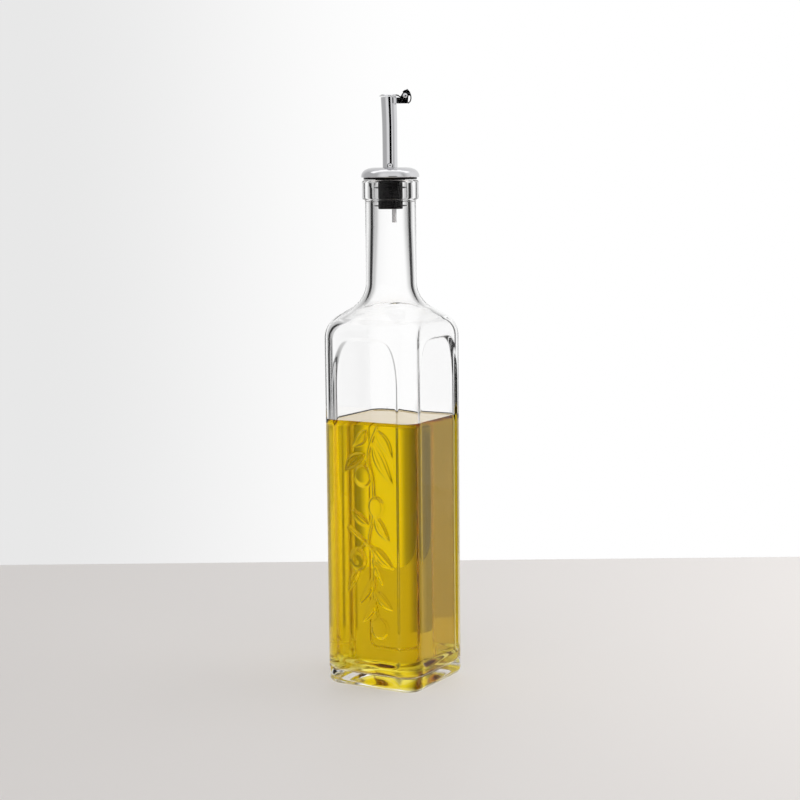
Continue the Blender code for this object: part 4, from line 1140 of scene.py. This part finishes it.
# %% Studio ring
HIGH_RING = (
    # degrees to the right of straight ahead, and brightness, seen through the neck
    (-180, 0.8), (-110, 0.7), (-70, 0.6), (-64, 0.5), (-61, 0.01), (-41, 0.01), (-37, 0.4), (-28, 0.52),
    (-19, 0.62), (-12, 0.92), (0, 1.0), (12, 1.0), (19, 0.8), (26, 0.6), (34, 0.5), (37, 0.3), (41, 0.01),
    (61, 0.01), (64, 0.5), (70, 0.6), (110, 0.7), (180, 0.8),
)
MIDDLE_RING = (
    # the same, seen through the empty body
    (-180, 0.8), (-119, 0.6), (-70, 0.6), (-62, 0.5), (-58, 0.4), (-54, 0.01), (-36, 0.01), (-32, 0.15),
    (-27, 0.45), (-21, 0.7), (-15, 0.97), (0, 1.0), (18, 1.0), (24, 0.8), (32, 0.5), (39, 0.15), (43, 0.01),
    (60, 0.01), (64, 0.5), (75, 0.85), (150, 0.95), (180, 0.8),
)
LOW_RING = (
    # the same, seen through the oil
    (-180, 0.8), (-134, 0.7), (-119, 0.55), (-75, 0.55), (-60, 0.5), (-48, 0.42), (-26, 0.36), (-17, 0.42),
    (-11, 0.75), (-7, 1.0), (7, 1.0), (12, 0.65), (18, 0.36), (37, 0.36), (45, 0.6), (52, 0.7), (67, 0.7),
    (80, 0.8), (150, 0.95), (180, 0.8),
)
ROOM_RING = (
    # the same for reflections and for the light on the table
    (-180, 1.0), (-150, 1.1), (-138, 1.0), (-124, 0.63), (-57, 0.63), (-30, 0.8), (0, 0.9), (30, 1.0),
    (57, 1.1), (84, 1.15), (105, 0.95), (124, 0.6), (140, 1.05), (180, 1.0),
)

print("stops:", len(HIGH_RING), len(MIDDLE_RING), len(LOW_RING), len(ROOM_RING))

# %% Bearings and heights
# Each pair says where one part of the world gives way to the next. The first three are the upward
# share of a ray's direction, and the last is its share to the right.
OIL_TO_BODY, BODY_TO_NECK, RING_TO_CEILING = (-0.14, -0.125), (-0.075, -0.06), (0.55, 0.9)
LEFT_TO_RIGHT = (-0.2, 0.02)
CEILING, CEILING_FOR_TABLE = (0.95, 0.95, 0.96, 1.0), (0.4, 0.4, 0.41, 1.0)

world = bpy.data.worlds.new("studio")
bpy.context.scene.world = world
world.use_nodes = True
tree = world.node_tree
tree.nodes.clear()
place = node(tree, "ShaderNodeTexCoord")
turn = node(tree, "ShaderNodeVectorRotate", {"rotation_type": "Z_AXIS", "Angle": -AZIMUTH},
            {"Vector": place.outputs["Generated"]})
axes = node(tree, "ShaderNodeSeparateXYZ", links={"Vector": turn.outputs["Vector"]})
bearing = node(tree, "ShaderNodeMath", {"operation": "ARCTAN2"}, {0: axes.outputs["X"], 1: axes.outputs["Y"]})
share = node(tree, "ShaderNodeMapRange", {"From Min": -math.pi, "From Max": math.pi},
             {"Value": bearing.outputs["Value"]})

rings = []
for stops in (LOW_RING, MIDDLE_RING, HIGH_RING, ROOM_RING):
    made = node(tree, "ShaderNodeValToRGB", links={"Fac": share.outputs["Result"]})
    ramp_stops = made.color_ramp.elements
    for at, (degrees, bright) in enumerate(stops):
        spot = (degrees + 180.0) / 360.0
        is_end = at in (0, len(stops) - 1) and at < len(ramp_stops)
        stop = ramp_stops[at] if is_end else ramp_stops.new(spot)
        stop.position, stop.color = spot, (bright, bright, bright, 1.0)
    rings.append(made.outputs["Color"])
low_ring, middle_ring, high_ring, room_ring = rings

ray = node(tree, "ShaderNodeLightPath")
soft, direct = {"interpolation_type": "SMOOTHSTEP"}, {}
changes = ((soft, RING_TO_CEILING, "Z"), (soft, LEFT_TO_RIGHT, "X"),
           (direct, BODY_TO_NECK, "Z"), (direct, OIL_TO_BODY, "Z"))
steps = [node(tree, "ShaderNodeMapRange", {**kind, "From Min": start, "From Max": end},
              {"Value": axes.outputs[axis]}) for kind, (start, end), axis in changes]
overhead, aside, over_shoulder, over_oil = (step.outputs["Result"] for step in steps)
print("rings:", len(rings), "steps between them:", len(steps))

# %% [markdown]
# The parts of the world are mixed in pairs. For colours the Mix node has its factor at socket 0, its
# two colours at sockets 6 and 7, and its result at output 2.

# %% The world, put together
FACTOR, FIRST, SECOND, RESULT = 0, 6, 7, 2
COLOURS = {"data_type": "RGBA"}
through_body = node(tree, "ShaderNodeMix", COLOURS, {FACTOR: over_oil, FIRST: low_ring, SECOND: middle_ring})
through_glass = node(tree, "ShaderNodeMix", COLOURS,
                     {FACTOR: over_shoulder, FIRST: through_body.outputs[RESULT], SECOND: high_ring})
around = node(tree, "ShaderNodeMix", COLOURS,
              {FACTOR: ray.outputs["Is Reflection Ray"], FIRST: through_glass.outputs[RESULT],
               SECOND: room_ring})
ceiling = node(tree, "ShaderNodeMix", {**COLOURS, FIRST: CEILING, SECOND: CEILING_FOR_TABLE},
               {FACTOR: ray.outputs["Is Diffuse Ray"]})
room = node(tree, "ShaderNodeMix", COLOURS,
            {FACTOR: overhead, FIRST: around.outputs[RESULT], SECOND: ceiling.outputs[RESULT]})
backdrop = node(tree, "ShaderNodeMix", {**COLOURS, FIRST: linear("#e8e8e8"), SECOND: linear("#ffffff")},
                {FACTOR: aside})
shown = node(tree, "ShaderNodeMix", COLOURS,
             {FACTOR: ray.outputs["Is Camera Ray"], FIRST: room.outputs[RESULT],
              SECOND: backdrop.outputs[RESULT]})
studio_light = node(tree, "ShaderNodeBackground", links={"Color": shown.outputs[RESULT]})
node(tree, "ShaderNodeOutputWorld", links={"Surface": studio_light.outputs["Background"]})
print("nodes in the world:", len(tree.nodes))

# %% [markdown]
# ## Lamp and render settings
# The rings light everything evenly. One soft box on the right makes the table brighter there, and
# shows neither in reflections nor through the glass. A path through both walls and the oil crosses
# many surfaces, so the renderer may follow a ray through up to 32 of them.

# %% Lamp
LAMP_SIZE, LAMP_POWER, LAMP_SPREAD = 1.1, 4.3, 90.0
DEEP = 32


def softbox(name, place, aim, size, power):
    """A soft square light aimed at a point, which shows in no reflection."""
    data = bpy.data.lights.new(name, "AREA")
    data.shape, data.size, data.size_y, data.energy = "RECTANGLE", size, size, power
    lamp = bpy.data.objects.new(name, data)
    bpy.context.scene.collection.objects.link(lamp)
    lamp.location = place
    lamp.rotation_euler = (Vector(aim) - Vector(place)).to_track_quat("-Z", "Y").to_euler()
    data.spread = math.radians(LAMP_SPREAD)
    lamp.visible_glossy = False
    lamp.visible_transmission = False
    return lamp


softbox("right_box", seen(1.2, 0.1, 1.0), seen(0.7, 0.1, 0.0), LAMP_SIZE, LAMP_POWER)

scene = bpy.context.scene
scene.view_settings.view_transform = "Standard"
scene.cycles.max_bounces = DEEP
scene.cycles.transmission_bounces = DEEP
scene.cycles.glossy_bounces = 12
scene.cycles.transparent_max_bounces = 16
print("lamp", LAMP_POWER, "W,", DEEP, "bounces")
